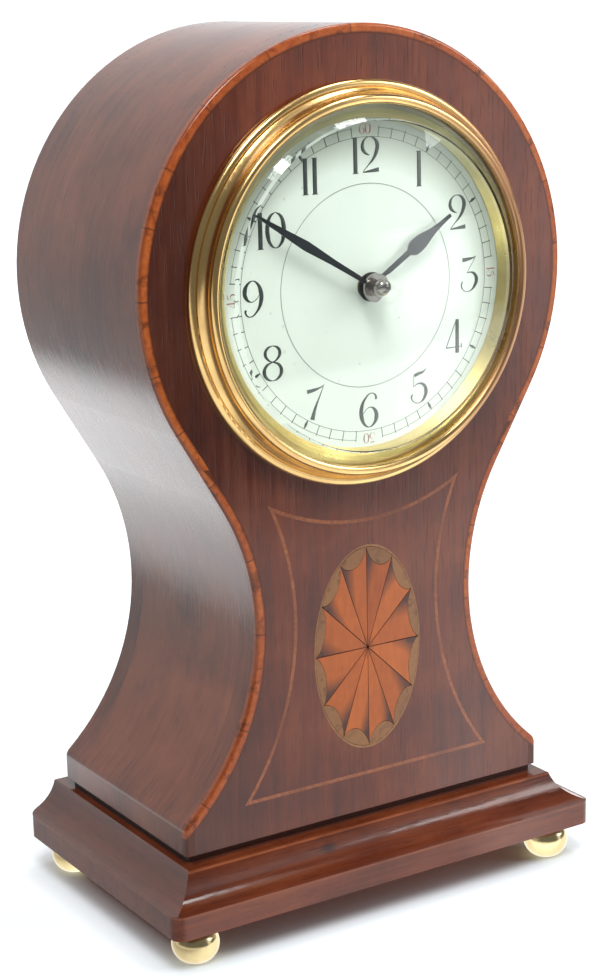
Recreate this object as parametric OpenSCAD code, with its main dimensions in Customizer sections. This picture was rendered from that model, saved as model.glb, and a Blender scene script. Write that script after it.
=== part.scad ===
// Balloon-shaped mantel clock in inlaid mahogany, with brass bezel, domed glass,
// enamel dial, round plated spring movement with rear winding, and a rear door.
// X runs to the right, Y to the back, Z up. The origin is on the floor, under the middle.

/* [Case] */
// Radius of the round head
head_r = 67; // [62:0.5:74]
// Height of the head's middle over the waist's narrowest place, in head radii
head_rise = 1.3403; // [1.33:0.005:1.4]
// Radius of the hollow curve at each side of the waist
waist_r = 67; // [66:0.25:68]
// Half of the waist's width
waist_w = 35.4; // [35:0.1:36]
// Height of the straight upright end at the body's foot
upright = 6.5364; // [5:0.25:8]
// Half of the body's width at its foot
base_w = 59.4; // [55:0.2:64]
// Radius that softens the corner where the waist meets the upright end
corner_r = 3; // [2.8:0.1:3.6]
// Height of the body's underside
body_z = 27.4; // [27.2:0.1:27.6]
// Distance from the middle to the front face
front_y = 31.8; // [31.6:0.1:32]
// Distance from the middle to the back face
back_y = 39.4; // [39:0.1:39.8]
// Thickness of the front panel
front_t = 9; // [8:0.25:9.5]
// Thickness of the bent sides and top
side_t = 7; // [6:0.25:7.5]
// Thickness of the back panel
back_t = 7; // [6:0.25:7.5]

/* [Plinth] */
// How far the slab stands out past the body at each end
slab_out = 10.8; // [9.8:0.1:12]
// Half of the slab's depth
slab_y = 44.7; // [44.7:0.1:45.2]
// Height of the slab's underside, which is the height of the feet
slab_z = 10.45; // [10:0.05:10.8]
// Height of the slab's upper face
slab_top = 17.25; // [17:0.05:17.5]
// Height of the ledge on top of the moulding
ledge_z = 25.35; // [25.2:0.05:25.5]
// How far the hollow moulding spreads from its ledge to the slab
spread = 8.6; // [8.2:0.1:9]
// Radius of the moulding's hollow
hollow_r = 11; // [10:0.25:12]
// Radius of each foot at its belly
foot_r = 6.5; // [6:0.1:7]

/* [Inlay] */
// Width of the edge stringing
edge_w = 2.6; // [2:0.1:2.8]
// Depth of the edge stringing
edge_d = 2.4; // [2:0.1:3]
// Width of the panel stringing
line_w = 1; // [0.8:0.1:1.2]
// Depth of every inlay in the front panel
inlay_d = 1.2; // [1:0.1:1.6]
// Half of the medallion's width
oval_w = 17.6; // [17:0.1:18.2]
// Half of the medallion's height
oval_h = 29.35; // [28.8:0.05:30]

/* [Dial] */
// Distance of the dial's axis below the middle of the head
dial_drop = 0.9; // [0.5:0.1:1.3]
// Radius of the enamel dial
dial_r = 44.5; // [40:0.25:49]
// Angle of the hour hand, clockwise from twelve
hour_angle = 57; // [0:1:359]
// Angle of the minute hand, clockwise from twelve
minute_angle = 301; // [0:1:359]

/* [Movement] */
// Radius of the movement's round plates
plate_r = 34; // [33.5:0.1:34.2]
// Thickness of the movement's plates
plate_t = 1.8; // [1.6:0.05:2]
// Radial clearance of a pivot in its hole
pivot_gap = 0.05; // [0.03:0.01:0.08]

/* [Hidden] */
$fn = 96;

// Derived places of the case
waist_x = waist_w + waist_r;
reach_x = waist_x - base_w + corner_r;
waist_z = body_z + upright + sqrt((waist_r + corner_r) * (waist_r + corner_r) - reach_x * reach_x);
head_z = waist_z + head_rise * head_r;
dial_z = head_z - dial_drop;
slab_w = base_w + slab_out;
run_z = waist_z - head_z;
run = sqrt(waist_x * waist_x + run_z * run_z);
turn = atan2(run_z, waist_x) + acos((head_r + waist_r) / run);
shell_y0 = -front_y + front_t;
shell_y1 = back_y - back_t;
board_t = 7;
neck_in = 1.5;
fillet_w = slab_w - spread;
fillet_y = slab_y - spread;
core_w = base_w - neck_in - 0.3;
moulding_in = fillet_w - core_w;
foot_x = slab_w - 10.2;
foot_y = slab_y - 8.7;
glue = 0.03;
cav_h = ledge_z - slab_top;
slab_corner = 3.5;
screw_r = 1.5;
edge_round = 1;
string_joint = 0.04;
panel_z = 38.3;
panel_arc_r = 64.2;
panel_in = 12.1;
panel_drop = 45;
oval_z = 75;
flute_r = 19.5;
back_hole_r = 38;
hinge_x = 43.9;
hinge_y = back_y + 1.5;

// Derived places of the bezel and dial, measured forward from the front face
hole_r = dial_r + 5.5;
spigot_r = dial_r + 5.2;
spigot_in = dial_r + 4;
outer_r = dial_r + 7.9;
crown_r = dial_r + 4.3;
spigot_back = 3;
lip_r = dial_r + 3;
seat_off = 5.3;
ring_off = 3.6;
dial_back = -0.1;
dial_edge = 1.3;
dial_mid = 1.6;
dplate_r = dial_r + 3.7;
dplate_t = 1.6;
pin_r = 0.5;
glass_top = 12.8;
glass_edge_r = dial_r + 3.7;
bevel_out = dial_r + 1.8;
bevel_in = dial_r - 1;
sight_in = dial_r - 1.3;
out_rise = 4.2;
in_rise = 4.5;
glass_out_r = (bevel_in * bevel_in + out_rise * out_rise) / (2 * out_rise);
glass_in_r = (sight_in * sight_in + in_rise * in_rise) / (2 * in_rise);

// Stations of the movement along Y
fp_back = -22.6;
fp_front = fp_back - plate_t;
bp_front = 3.4;
bp_back = bp_front + plate_t;
dplate_back = -front_y - dial_back + dplate_t;
pivot_r = 0.6;
arbor_r = 0.6;
barrel_bear_r = 1.5;
small_r = 0.8;
hour_pipe_r = 2.6;
cannon_pipe_r = 1.75;
cannon_y = -26.2;
hour_y = -28.9;
barrel_y0 = -18.2;
barrel_y1 = -1.4;
barrel_tooth_t = 1.6;
centre_y0 = 0.3;
plat_back = bp_back + 1.4;
strap_x = 36.2;
pillar_angles = [60, 165, 240, 315];
pillar_d = 30.8;
post_angles = [30, 150, 270];
post_d = 29;

// Places of the arbors around the dial's axis, as seen from the front
barrel_p = [-15.226, -7.1];
inter_p = [0.547, -10.786];
third_p = [9.788, 4.564];
fourth_p = [6.3, 14.149];
escape_p = [-2.274, 19.099];
balance_p = [-6.503, 17.56];
cylinder_r = 0.8;
escape_off = 0.25;
escape_r = norm(balance_p - escape_p) - cylinder_r - escape_off;
minute_p = [7.2, 0];
click_p = [-10.476, -15.327];
click_aim = 160.3;
click_len = 7.28;
click_spring_p = [-9.5, -21.5];
click_spring_aim = 126;
click_spring_len = 5.5;
platform_p = [-4.4, 18.2];
platform_screws = [[6.1, 23.7], [3.5, 12.7], [-14.9, 23.7], [-14.9, 12.7]];
escape_cock_p = [4.726, 19.099];
escape_cock_len = 7;
cock_p = [-14.803, 17.56];
cock_len = 8.3;
index_aim = 90;

// Moves a 2-D drawing of X and height into place between two stations of Y
module along_y(y0, y1) {
  translate([0, y1, 0])
    rotate([90, 0, 0])
      linear_extrude(y1 - y0)
        children();
}

// Round bar along Y around a point given from the dial's axis
module rod(p, y0, y1, r) {
  translate([p[0], y1, dial_z + p[1]])
    rotate([90, 0, 0])
      cylinder(h = y1 - y0, r = r);
}

// Turns a profile of radius and forward offset around the dial's axis
module turned() {
  translate([0, -front_y, dial_z])
    rotate([90, 0, 0])
      rotate_extrude()
        children();
}

// Outline of the case, drawn in by a distance, with its foot at a height
module case_outline(in, foot) {
  hr = head_r - in;
  wr = waist_r + in;
  bw = base_w - in;
  cr = corner_r - in > 0.2 ? corner_r - in : 0;
  cx = bw - cr;
  cz = waist_z - sqrt((wr + cr) * (wr + cr) - (waist_x - cx) * (waist_x - cx));
  px = cx + cr * (waist_x - cx) / (wr + cr);
  pz = cz + cr * (waist_z - cz) / (wr + cr);
  tx = hr * cos(turn);
  tz = head_z + hr * sin(turn);
  ux = waist_x - wr * cos(turn);
  uz = waist_z - wr * sin(turn);
  corner = cr > 0 ? [[bw, cz], [cx, cz], [px, pz]] : [[bw, cz]];
  half = concat([[bw, foot]], corner, [[ux, uz], [tx, tz]]);
  last = len(half) - 1;
  translate([0, head_z])
    circle(r = hr);
  difference() {
    polygon(concat(half, [for (k = [last : -1 : 0]) [-half[k][0], half[k][1]]]));
    for (s = [-1, 1])
      translate([s * waist_x, waist_z])
        circle(r = wr);
  }
  if (cr > 0)
    for (s = [-1, 1])
      translate([s * cx, cz])
        circle(r = cr);
}

// Waisted panel that the stringing encloses, drawn out by a distance
module panel_shape(out) {
  difference() {
    translate([-base_w, panel_z - out])
      square([2 * base_w, dial_z - panel_drop - panel_z]);
    translate([0, dial_z])
      circle(r = panel_arc_r - out);
    for (s = [-1, 1])
      translate([s * waist_x, waist_z])
        circle(r = waist_r + panel_in - out);
  }
}

// Drawing of a circle of radius 20 pressed into the medallion's oval
module oval_frame() {
  translate([0, oval_z])
    scale([oval_w / 20, oval_h / 20])
      children();
}

// Lens that closes the outer end of one flute
module scallop(k, grow) {
  intersection() {
    circle(r = flute_r + grow);
    rotate(75 + k * 30)
      translate([22.9, 0])
        circle(r = 6.5 + grow);
  }
}

// Trapezoid teeth on a disc, in the plane of X and height
module gear_shape(n, m, add, ded, tip, root, phase) {
  r = n * m / 2;
  p = 360 / n;
  rt = r + add * m;
  rb = r - ded * m;
  polygon([
    for (k = [0 : n - 1])
      for (c = [[rb, -root], [rt, -tip], [rt, tip], [rb, root]])
        [c[0] * cos(phase + (k + c[1]) * p), c[0] * sin(phase + (k + c[1]) * p)]
  ]);
}

// Toothed wheel with spokes between a rim and a hub
module wheel(p, y0, y1, n, m, phase, hub, arms) {
  r = n * m / 2;
  rim = r - 1.25 * m - 1.1;
  translate([p[0], 0, dial_z + p[1]])
    along_y(y0, y1)
      difference() {
        gear_shape(n, m, 0.95, 1.25, 0.07, 0.25, phase);
        difference() {
          circle(r = rim);
          circle(r = hub);
          for (k = [0 : arms - 1])
            rotate(k * 360 / arms)
              translate([0, -0.55])
                square([rim + 0.3, 1.1]);
        }
      }
}

module pinion(p, y0, y1, n, m, phase) {
  translate([p[0], 0, dial_z + p[1]])
    along_y(y0, y1)
      gear_shape(n, m, 0.75, 1.35, 0.09, 0.22, phase);
}

// Arbor with a thinner pivot at each end
module arbor(p, r, y0, y1, end0, end1) {
  rod(p, y0, y1, r);
  rod(p, end0, y0 + 0.2, pivot_r);
  rod(p, y1 - 0.2, end1, pivot_r);
}

// Direction from one place to another, and the phase that sets a gap towards it
function aim(a, b) = atan2(b[1] - a[1], b[0] - a[0]);
function gap(n, dir) = dir + 180 + 180 / n;

// Front panel of the body, cut for the bezel and the inlays
module front_panel() {
  color("#5a2a20")
    difference() {
      union() {
        along_y(-front_y, -front_y + edge_d)
          case_outline(edge_w, body_z);
        along_y(-front_y + edge_d, -front_y + front_t)
          case_outline(0, body_z);
      }
      rod([0, 0], -front_y - 1, -front_y + front_t + 1, hole_r);
      along_y(-front_y - 1, -front_y + inlay_d) {
        difference() {
          panel_shape(line_w / 2);
          panel_shape(-line_w / 2);
        }
        oval_frame()
          circle(r = 20);
      }
    }
}

// Bent sides and top, one thick skin between the two panels
module case_sides() {
  color("#5f2d22")
    along_y(shell_y0, shell_y1)
      difference() {
        case_outline(0, body_z);
        case_outline(side_t, body_z - 5);
      }
}

module back_panel() {
  color("#5a2a20")
    difference() {
      along_y(shell_y1, back_y)
        case_outline(0, body_z);
      rod([0, 0], shell_y1 - 1, back_y + 1, back_hole_r);
    }
}

module screw_places() {
  for (x = [-40, 40])
    for (y = [-12, 22])
      translate([x, y, slab_z])
        children();
}

module bottom_board() {
  color("#7a4a30")
    difference() {
      along_y(shell_y0, shell_y1)
        intersection() {
          case_outline(side_t, body_z);
          translate([-base_w, body_z])
            square([2 * base_w, board_t]);
        }
      screw_places()
        cylinder(h = 60, r = screw_r);
    }
}

// Narrow board that leaves the shadow gap between body and plinth
module neck_board() {
  color("#3a1d16")
    difference() {
      translate([-base_w + neck_in, -front_y + neck_in, ledge_z])
        cube([2 * (base_w - neck_in), front_y + back_y - 2 * neck_in, body_z - ledge_z]);
      screw_places()
        cylinder(h = 60, r = screw_r);
    }
}

module plinth_core() {
  color("#6a3a28")
    difference() {
      translate([-core_w, -fillet_y + moulding_in, slab_top])
        cube([2 * core_w, fillet_y - moulding_in + slab_y, cav_h]);
      screw_places()
        cylinder(h = 60, r = screw_r);
    }
}

module rounded_plan(z0, h) {
  translate([0, 0, z0])
    linear_extrude(h) {
      square([2 * (slab_w - slab_corner), 2 * slab_y], center = true);
      square([2 * slab_w, 2 * (slab_y - slab_corner)], center = true);
      for (x = [-1, 1])
        for (y = [-1, 1])
          translate([x * (slab_w - slab_corner), y * (slab_y - slab_corner)])
            circle(r = slab_corner);
    }
}

module plinth_slab() {
  color("#5f2d22")
    difference() {
      rounded_plan(slab_z, slab_top - slab_z);
      screw_places()
        translate([0, 0, -1]) {
          cylinder(h = 30, r = screw_r);
          cylinder(h = 3.2, r = 3.2);
        }
      foot_places()
        translate([0, 0, slab_z - 1])
          cylinder(h = 6, r = screw_r);
    }
}

// Hollow moulding's section: distance outward from the ledge, height above the slab
module moulding_shape() {
  a = [0, cav_h - 1.2];
  b = [spread, 0];
  chord = sqrt((b[0] - a[0]) * (b[0] - a[0]) + (b[1] - a[1]) * (b[1] - a[1]));
  rise = sqrt(hollow_r * hollow_r - chord * chord / 4);
  ux = (b[0] - a[0]) / chord;
  uz = (b[1] - a[1]) / chord;
  difference() {
    translate([-moulding_in, 0])
      square([moulding_in + spread, cav_h]);
    translate([(a[0] + b[0]) / 2 - uz * rise, (a[1] + b[1]) / 2 + ux * rise])
      circle(r = hollow_r);
    polygon([[0, cav_h - 1.2], [spread + 1, cav_h - 1.2], [spread + 1, cav_h + 1], [0, cav_h + 1]]);
    difference() {
      translate([-0.8, cav_h - 0.8])
        square([2, 2]);
      translate([-0.8, cav_h - 0.8])
        circle(r = 0.8);
    }
  }
}

module plinth_front_moulding() {
  color("#6a3426")
    intersection() {
      translate([-slab_w, -fillet_y, slab_top])
        rotate([90, 0, 90])
          linear_extrude(2 * slab_w)
            mirror([1, 0])
              moulding_shape();
      translate([0, 0, slab_top - 1])
        linear_extrude(cav_h + 2)
          polygon([
            [-slab_w, -slab_y], [slab_w, -slab_y],
            [slab_w - 30, -slab_y + 30], [-slab_w + 30, -slab_y + 30]
          ]);
      rounded_plan(slab_top, cav_h);
    }
}

module side_moulding(s) {
  color("#6a3426")
    intersection() {
      translate([s * fillet_w, slab_y, slab_top])
        rotate([90, 0, 0])
          linear_extrude(2 * slab_y)
            scale([s, 1])
              moulding_shape();
      translate([0, 0, slab_top - 1])
        linear_extrude(cav_h + 2)
          polygon([
            [s * slab_w, -slab_y], [s * slab_w, slab_y],
            [s * (slab_w - 30), slab_y], [s * (slab_w - 30), -slab_y + 30]
          ]);
      rounded_plan(slab_top, cav_h);
    }
}

module plinth_left_moulding() {
  side_moulding(-1);
}

module plinth_right_moulding() {
  side_moulding(1);
}

module foot_places() {
  for (x = [-foot_x, foot_x])
    for (y = [-foot_y, foot_y])
      translate([x, y, 0])
        children();
}

// Turned ball foot with a neck, and a bore that takes its screw
module foot(x, y) {
  belly = 5.3;
  mid = 4.9;
  color("#d9c27a")
    translate([x, y, 0])
      rotate_extrude()
        difference() {
          union() {
            translate([foot_r - belly, mid])
              circle(r = belly);
            translate([0, mid - belly])
              square([foot_r - belly, 2 * belly]);
            translate([0, slab_z - 2])
              square([4.4, 2]);
          }
          translate([-20, -2])
            square([20 + screw_r + 0.05, 20]);
          translate([0, -1])
            square([2.5, 3.2]);
          translate([0, -2])
            square([20, 2]);
        }
}

module foot_front_left() {
  foot(-foot_x, -foot_y);
}

module foot_front_right() {
  foot(foot_x, -foot_y);
}

module foot_back_left() {
  foot(-foot_x, foot_y);
}

module foot_back_right() {
  foot(foot_x, foot_y);
}

// Screws that hold the feet, and those that hold plinth, neck and body together
module wood_screws() {
  color("#b8b8b8") {
    foot_places() {
      translate([0, 0, 2])
        cylinder(h = slab_z + 2.6, r = screw_r);
      translate([0, 0, 0.8])
        cylinder(h = 1.4, r = 2.4);
    }
    screw_places()
      translate([0, 0, 0.2]) {
        cylinder(h = 22, r = screw_r);
        cylinder(h = 2, r = 3);
      }
  }
}

// Section of the edge stringing: outward distance, forward distance
module edge_section(side) {
  scale([side, 1])
    difference() {
      translate([-edge_w + glue, -edge_d + glue])
        square([edge_w - glue, edge_d - glue]);
      difference() {
        translate([-edge_round, -edge_round])
          square([2, 2]);
        translate([-edge_round, -edge_round])
          circle(r = edge_round);
      }
    }
}

// One side of the stringing, laid in four lengths with fine joints between them:
// straight run, waist curve, soft corner and upright end
module edge_side() {
  wr = waist_r;
  cr = corner_r;
  cx = base_w - cr;
  cz = waist_z - sqrt((wr + cr) * (wr + cr) - (waist_x - cx) * (waist_x - cx));
  foot_turn = atan2(cz - waist_z, cx - waist_x) + 360;
  run_len = sqrt(run * run - (head_r + wr) * (head_r + wr));
  translate([head_r * cos(turn), head_z + head_r * sin(turn)])
    rotate(turn)
      translate([0, -string_joint])
        rotate([90, 0, 0])
          linear_extrude(run_len - 2 * string_joint)
            edge_section(1);
  translate([waist_x, waist_z])
    rotate(turn + 180)
      rotate_extrude(angle = foot_turn - turn - 180 - string_joint)
        translate([wr, 0])
          edge_section(-1);
  translate([cx, cz])
    rotate_extrude(angle = foot_turn - 180)
      translate([cr, 0])
        edge_section(1);
  translate([base_w, cz - string_joint])
    rotate([90, 0, 0])
      linear_extrude(cz - string_joint - body_z)
        edge_section(1);
}

module edge_string() {
  color("#c8743c")
    translate([0, -front_y, 0])
      rotate([90, 0, 0]) {
        translate([0, head_z])
          rotate(turn)
            rotate_extrude(angle = 180 - 2 * turn)
              translate([head_r, 0])
                edge_section(1);
        edge_side();
        mirror([1, 0, 0])
          edge_side();
      }
}

module panel_string() {
  color("#c06a3c")
    along_y(-front_y, -front_y + inlay_d)
      difference() {
        panel_shape(line_w / 2);
        panel_shape(-line_w / 2);
      }
}

module medallion_border() {
  color("#b98a50")
    along_y(-front_y, -front_y + inlay_d)
      oval_frame()
        difference() {
          circle(r = 20);
          circle(r = flute_r + 0.08);
        }
}

module medallion_scallops() {
  color("#a8824e")
    along_y(-front_y, -front_y + inlay_d)
      oval_frame()
        for (k = [0 : 11])
          difference() {
            scallop(k, 0);
            rotate(75 + k * 30) {
              rotate(15)
                translate([0, -0.05])
                  square([30, 3]);
              rotate(-15)
                translate([0, -2.95])
                  square([30, 3]);
            }
          }
}

module medallion_flutes() {
  color("#c8642c")
    along_y(-front_y, -front_y + inlay_d)
      oval_frame()
        for (k = [0 : 11])
          difference() {
            intersection() {
              circle(r = flute_r);
              rotate(75 + k * 30)
                polygon([[0.3, 0], [25, -24.7 * tan(15)], [25, 24.7 * tan(15)]]);
            }
            scallop(k, 0.1);
          }
}

// Turned brass ring with its outer lip, hollow, half-round and glass seat
module bezel() {
  color("#e0b040")
    difference() {
      turned()
        difference() {
          union() {
            difference() {
              polygon([
                [spigot_in, -spigot_back], [spigot_r, -spigot_back], [spigot_r, 0],
                [outer_r, 0], [outer_r, 2], [outer_r - 0.6, 2], [outer_r - 2.2, 5],
                [crown_r, 5], [crown_r, 5.9],
                [lip_r, 5.9], [lip_r, seat_off], [spigot_in, seat_off]
              ]);
              translate([outer_r + 2.7, 5.7])
                circle(r = 4.97);
            }
            translate([outer_r, 0.9])
              circle(r = 1.4);
            translate([crown_r, 5.9])
              circle(r = 1.3);
          }
          translate([20, -5])
            square([spigot_in - 20, seat_off + 5]);
          translate([20, -spigot_back - 3])
            square([40, 3]);
          translate([spigot_r, -2])
            square([9, 2]);
        }
      bezel_pin_places(pin_r + 0.02);
    }
}

module bezel_pin_places(r) {
  for (k = [0 : 2])
    translate([0, -front_y - dial_back + dplate_t / 2, dial_z])
      rotate([0, 30 + 120 * k, 0])
        translate([0, 0, dial_r + 0.5])
          cylinder(h = 4.6, r = r);
}

// Three pins through the bezel's collar into the edge of the dial plate
module bezel_pins() {
  color("#b89040")
    bezel_pin_places(pin_r);
}

// Domed glass with a ground bevel at its edge
module bezel_glass() {
  color("#cfe6dc", 0.35)
    turned()
      difference() {
        intersection() {
          translate([0, glass_top - glass_out_r])
            circle(r = glass_out_r, $fn = 720);
          polygon([
            [0, ring_off], [glass_edge_r, ring_off], [glass_edge_r, 5.2], [bevel_out, 5.2],
            [bevel_in, 8.6], [bevel_in - 0.1, 14], [0, 14]
          ]);
        }
        intersection() {
          translate([0, glass_top - 1.7 - glass_in_r])
            circle(r = glass_in_r, $fn = 720);
          polygon([
            [-1, 3], [bevel_out - 0.1, 3], [bevel_out - 0.5, ring_off], [sight_in, 6.6],
            [sight_in, 14], [-1, 14]
          ]);
        }
        translate([-10, -10])
          square([10, 40]);
      }
}

// Bright sloping ring between the dial's edge and the glass
module sight_ring() {
  color("#e8c050")
    turned()
      polygon([
        [sight_in, 1.4], [sight_in, 1.5], [dial_r + 1.2, ring_off], [dplate_r, ring_off],
        [dplate_r, dial_back], [dial_r + 0.2, dial_back], [dial_r + 0.2, 1.4]
      ]);
}

module dial() {
  color("#e8eee4")
    turned()
      polygon([[3.2, dial_back], [dial_r, dial_back], [dial_r, dial_edge], [3.2, dial_mid]]);
}

module dial_plate() {
  color("#c9a24a")
    difference() {
      rod([0, 0], -front_y - dial_back, dplate_back, dplate_r);
      rod([0, 0], -front_y - 5, dplate_back + 1, 3.2);
      bezel_pin_places(pin_r);
      strap_screw_places()
        cylinder(h = 3.4, r = small_r);
    }
}

// Hand with its hub and bore, its blade drawn pointing up and turned to its angle
module hand(angle, off, t, hub, bore) {
  color("#20242c")
    difference() {
      union() {
        rod([0, 0], -front_y - off - t, -front_y - off, hub);
        translate([0, -front_y - off, dial_z])
          rotate([90, 0, 0])
            rotate(-angle)
              linear_extrude(t)
                children();
      }
      rod([0, 0], -front_y - off - t - 1, -front_y - off + 1, bore);
    }
}

module hour_hand() {
  half = [
    [0.6, 2.8], [0.75, 14.6], [1.5, 15.3], [2.05, 16.4], [2.15, 18.2], [1.95, 20],
    [1.35, 22.3], [0.93, 24.1], [0.6, 27], [0.4, 30.9]
  ];
  hand(hour_angle, 3.2, 0.5, 3.9, hour_pipe_r)
    polygon(concat(half, [for (k = [len(half) - 1 : -1 : 0]) [-half[k][0], half[k][1]]]));
}

module minute_hand() {
  half = [
    [0.55, 2], [0.8, 15], [1.15, 21.5], [1.28, 24.5], [1.15, 27], [0.8, 33], [0.3, 41.6]
  ];
  hand(minute_angle, 4.7, 0.5, 3.4, cannon_pipe_r)
    polygon(concat(half, [for (k = [len(half) - 1 : -1 : 0]) [-half[k][0], half[k][1]]]));
}

// Collar and ball nut that hold the minute hand
module hand_nut() {
  color("#3a3c40")
    turned()
      difference() {
        union() {
          translate([0, 5.2])
            square([3.8, 0.8]);
          translate([0, 5.9])
            square([2, 1]);
          translate([0, 8.3])
            circle(r = 2.5);
        }
        translate([-10, -1])
          square([10, 20]);
        translate([0, -1])
          square([arbor_r, 9.9]);
      }
}

module plate_holes(y0, y1) {
  for (p = [barrel_p])
    rod(p, y0, y1, barrel_bear_r + pivot_gap);
  for (p = [inter_p, third_p, fourth_p])
    rod(p, y0, y1, pivot_r + pivot_gap);
  rod([0, 0], y0, y1, arbor_r + pivot_gap);
  for (a = pillar_angles)
    rod(pillar_d * [cos(a), sin(a)], y0, y1, small_r);
}

module front_plate() {
  color("#d4b060")
    difference() {
      rod([0, 0], fp_front, fp_back, plate_r);
      plate_holes(fp_front - 1, fp_back + 1);
      rod(escape_p, fp_front - 1, fp_back + 1, pivot_r + pivot_gap);
      rod(minute_p, fp_front - 1, fp_back + 1, small_r);
      for (a = post_angles)
        rod(post_d * [cos(a), sin(a)], fp_front - 1, fp_back + 1, small_r);
    }
}

module back_plate() {
  color("#d4b060")
    difference() {
      rod([0, 0], bp_front, bp_back, plate_r);
      plate_holes(bp_front - 1, bp_back + 1);
      rod(escape_p, bp_front - 1, bp_back + 1, 1.5);
      for (p = platform_screws)
        rod(p, bp_front - 1, bp_back + 1, small_r);
      rod(click_p, bp_front - 1, bp_back + 1, small_r);
      rod(click_spring_p, bp_front - 1, bp_back + 1, small_r);
    }
}

module pillars() {
  color("#c9a24a")
    for (a = pillar_angles)
      difference() {
        rod(pillar_d * [cos(a), sin(a)], fp_back, bp_front, 2.2);
        rod(pillar_d * [cos(a), sin(a)], fp_back - 1, fp_back + 5, small_r);
        rod(pillar_d * [cos(a), sin(a)], bp_front - 5, bp_front + 1, small_r);
      }
}

// Posts that carry the movement on the dial plate
module movement_posts() {
  color("#c9a24a") {
    rod(minute_p, hour_y - 0.6, fp_front + 0.5, pivot_r);
    rod(minute_p, cannon_y + 1.3, fp_back, small_r);
    for (a = post_angles)
      difference() {
        rod(post_d * [cos(a), sin(a)], dplate_back, fp_front, 2.2);
        rod(post_d * [cos(a), sin(a)], fp_front - 4, fp_front + 1, small_r);
      }
  }
}

// A screw along Y whose head lies between two stations and whose shank runs to a third
module screw(p, head0, head1, tip, head_rad) {
  rod(p, head0, head1, head_rad);
  rod(p, min(head0, tip), max(head1, tip), small_r);
}

module movement_screws() {
  color("#5a6a90") {
    for (a = pillar_angles) {
      screw(pillar_d * [cos(a), sin(a)], fp_front - 1, fp_front, fp_back + 4, 1.7);
      screw(pillar_d * [cos(a), sin(a)], bp_back, bp_back + 1, bp_front - 4, 1.7);
    }
    for (a = post_angles)
      screw(post_d * [cos(a), sin(a)], fp_back, fp_back + 1, fp_front - 3.5, 1.7);
    for (p = platform_screws)
      screw(p, plat_back, plat_back + 0.9, bp_front + 0.3, 1.4);
    screw(click_p, bp_back + 1.6, bp_back + 2.4, bp_front + 0.3, 1.5);
    screw(click_spring_p, bp_back + 1.4, bp_back + 2.2, bp_front + 0.3, 1.4);
    for (s = [-1, 1]) {
      screw([s * (strap_x + 4.4), 0], dplate_back + 1.4, dplate_back + 2.4, dplate_back - 1.4, 1.6);
      screw([s * 34.4, 0], 37.4, 38.4, 34.7, 1.6);
    }
  }
}

// Toothed barrel with its arbor's bearing in the front wall
module barrel() {
  color("#d8b458")
    difference() {
      union() {
        rod(barrel_p, barrel_y0 + barrel_tooth_t - 0.01, barrel_y1, 13.4);
        translate([barrel_p[0], 0, dial_z + barrel_p[1]])
          along_y(barrel_y0, barrel_y0 + barrel_tooth_t)
            gear_shape(72, 0.4, 0.95, 1.25, 0.07, 0.25, aim(barrel_p, inter_p));
      }
      rod(barrel_p, barrel_y0 + 1.4, barrel_y1 + 1, 12.4);
      rod(barrel_p, barrel_y0 - 1, barrel_y1 + 1, 2.2 + pivot_gap);
    }
}

module barrel_cover() {
  color("#d0aa50")
    difference() {
      rod(barrel_p, barrel_y1 - 1.3, barrel_y1 - 0.1, 12.4);
      rod(barrel_p, barrel_y1 - 5, barrel_y1 + 1, 2.2 + pivot_gap);
    }
}

// Arbor that winds the spring, with a square at its back end
module barrel_arbor() {
  color("#9a9ca0") {
    rod(barrel_p, barrel_y0 - 0.4, barrel_y1 + 0.4, 2.2);
    rod(barrel_p, barrel_y0 + 3, barrel_y1 - 3, 4);
    rod(barrel_p, fp_front, bp_back + 0.25, barrel_bear_r);
    translate([barrel_p[0] - 1.05, bp_back, dial_z + barrel_p[1] - 1.05])
      cube([2.1, 23, 2.1]);
  }
}

// Spring strip in its coils, as close rings joined at one place
module mainspring() {
  color("#5c6470")
    difference() {
      union() {
        for (k = [0 : 5])
          difference() {
            rod(barrel_p, barrel_y0 + 2, barrel_y1 - 1.9, 12.2 - k * 1.1);
            rod(barrel_p, barrel_y0, barrel_y1, 11.6 - k * 1.1);
          }
        translate([barrel_p[0] + 4.1, barrel_y0 + 2, dial_z + barrel_p[1] - 0.3])
          cube([8, barrel_y1 - barrel_y0 - 3.9, 0.6]);
      }
      rod(barrel_p, barrel_y0, barrel_y1, 4.1);
    }
}

module ratchet_wheel() {
  color("#8c8e94")
    translate([barrel_p[0], 0, dial_z + barrel_p[1]])
      along_y(bp_back + 0.3, bp_back + 1.7)
        difference() {
          polygon([
            for (k = [0 : 23])
              for (c = [[5.0, 0], [6.0, 0.1], [5.9, 0.16]])
                [c[0] * cos((k + c[1]) * 15), c[0] * sin((k + c[1]) * 15)]
          ]);
          square([2.14, 2.14], center = true);
        }
}

// Pawl, drawn lifted onto the ratchet's tips as it rides during winding
module click() {
  color("#8c8e94")
    translate([click_p[0], 0, dial_z + click_p[1]])
      along_y(bp_back + 0.3, bp_back + 1.5)
        difference() {
          union() {
            circle(r = 1.8);
            rotate(click_aim)
              polygon([[0, -1.1], [click_len, 0.05], [click_len, 0.7], [0, 1.3]]);
          }
          circle(r = small_r + pivot_gap);
        }
}

// Leaf that presses on the click, with the screw foot at its end
module click_spring() {
  color("#6a7280")
    difference() {
      union() {
        rod(click_spring_p, bp_back, bp_back + 1.4, 1.5);
        translate([click_spring_p[0], bp_back + 0.4, dial_z + click_spring_p[1]])
          rotate([0, -click_spring_aim, 0])
            translate([1, 0, -0.2])
              cube([click_spring_len, 0.8, 0.4]);
      }
      rod(click_spring_p, bp_back - 1, bp_back + 2, small_r);
    }
}

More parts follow.
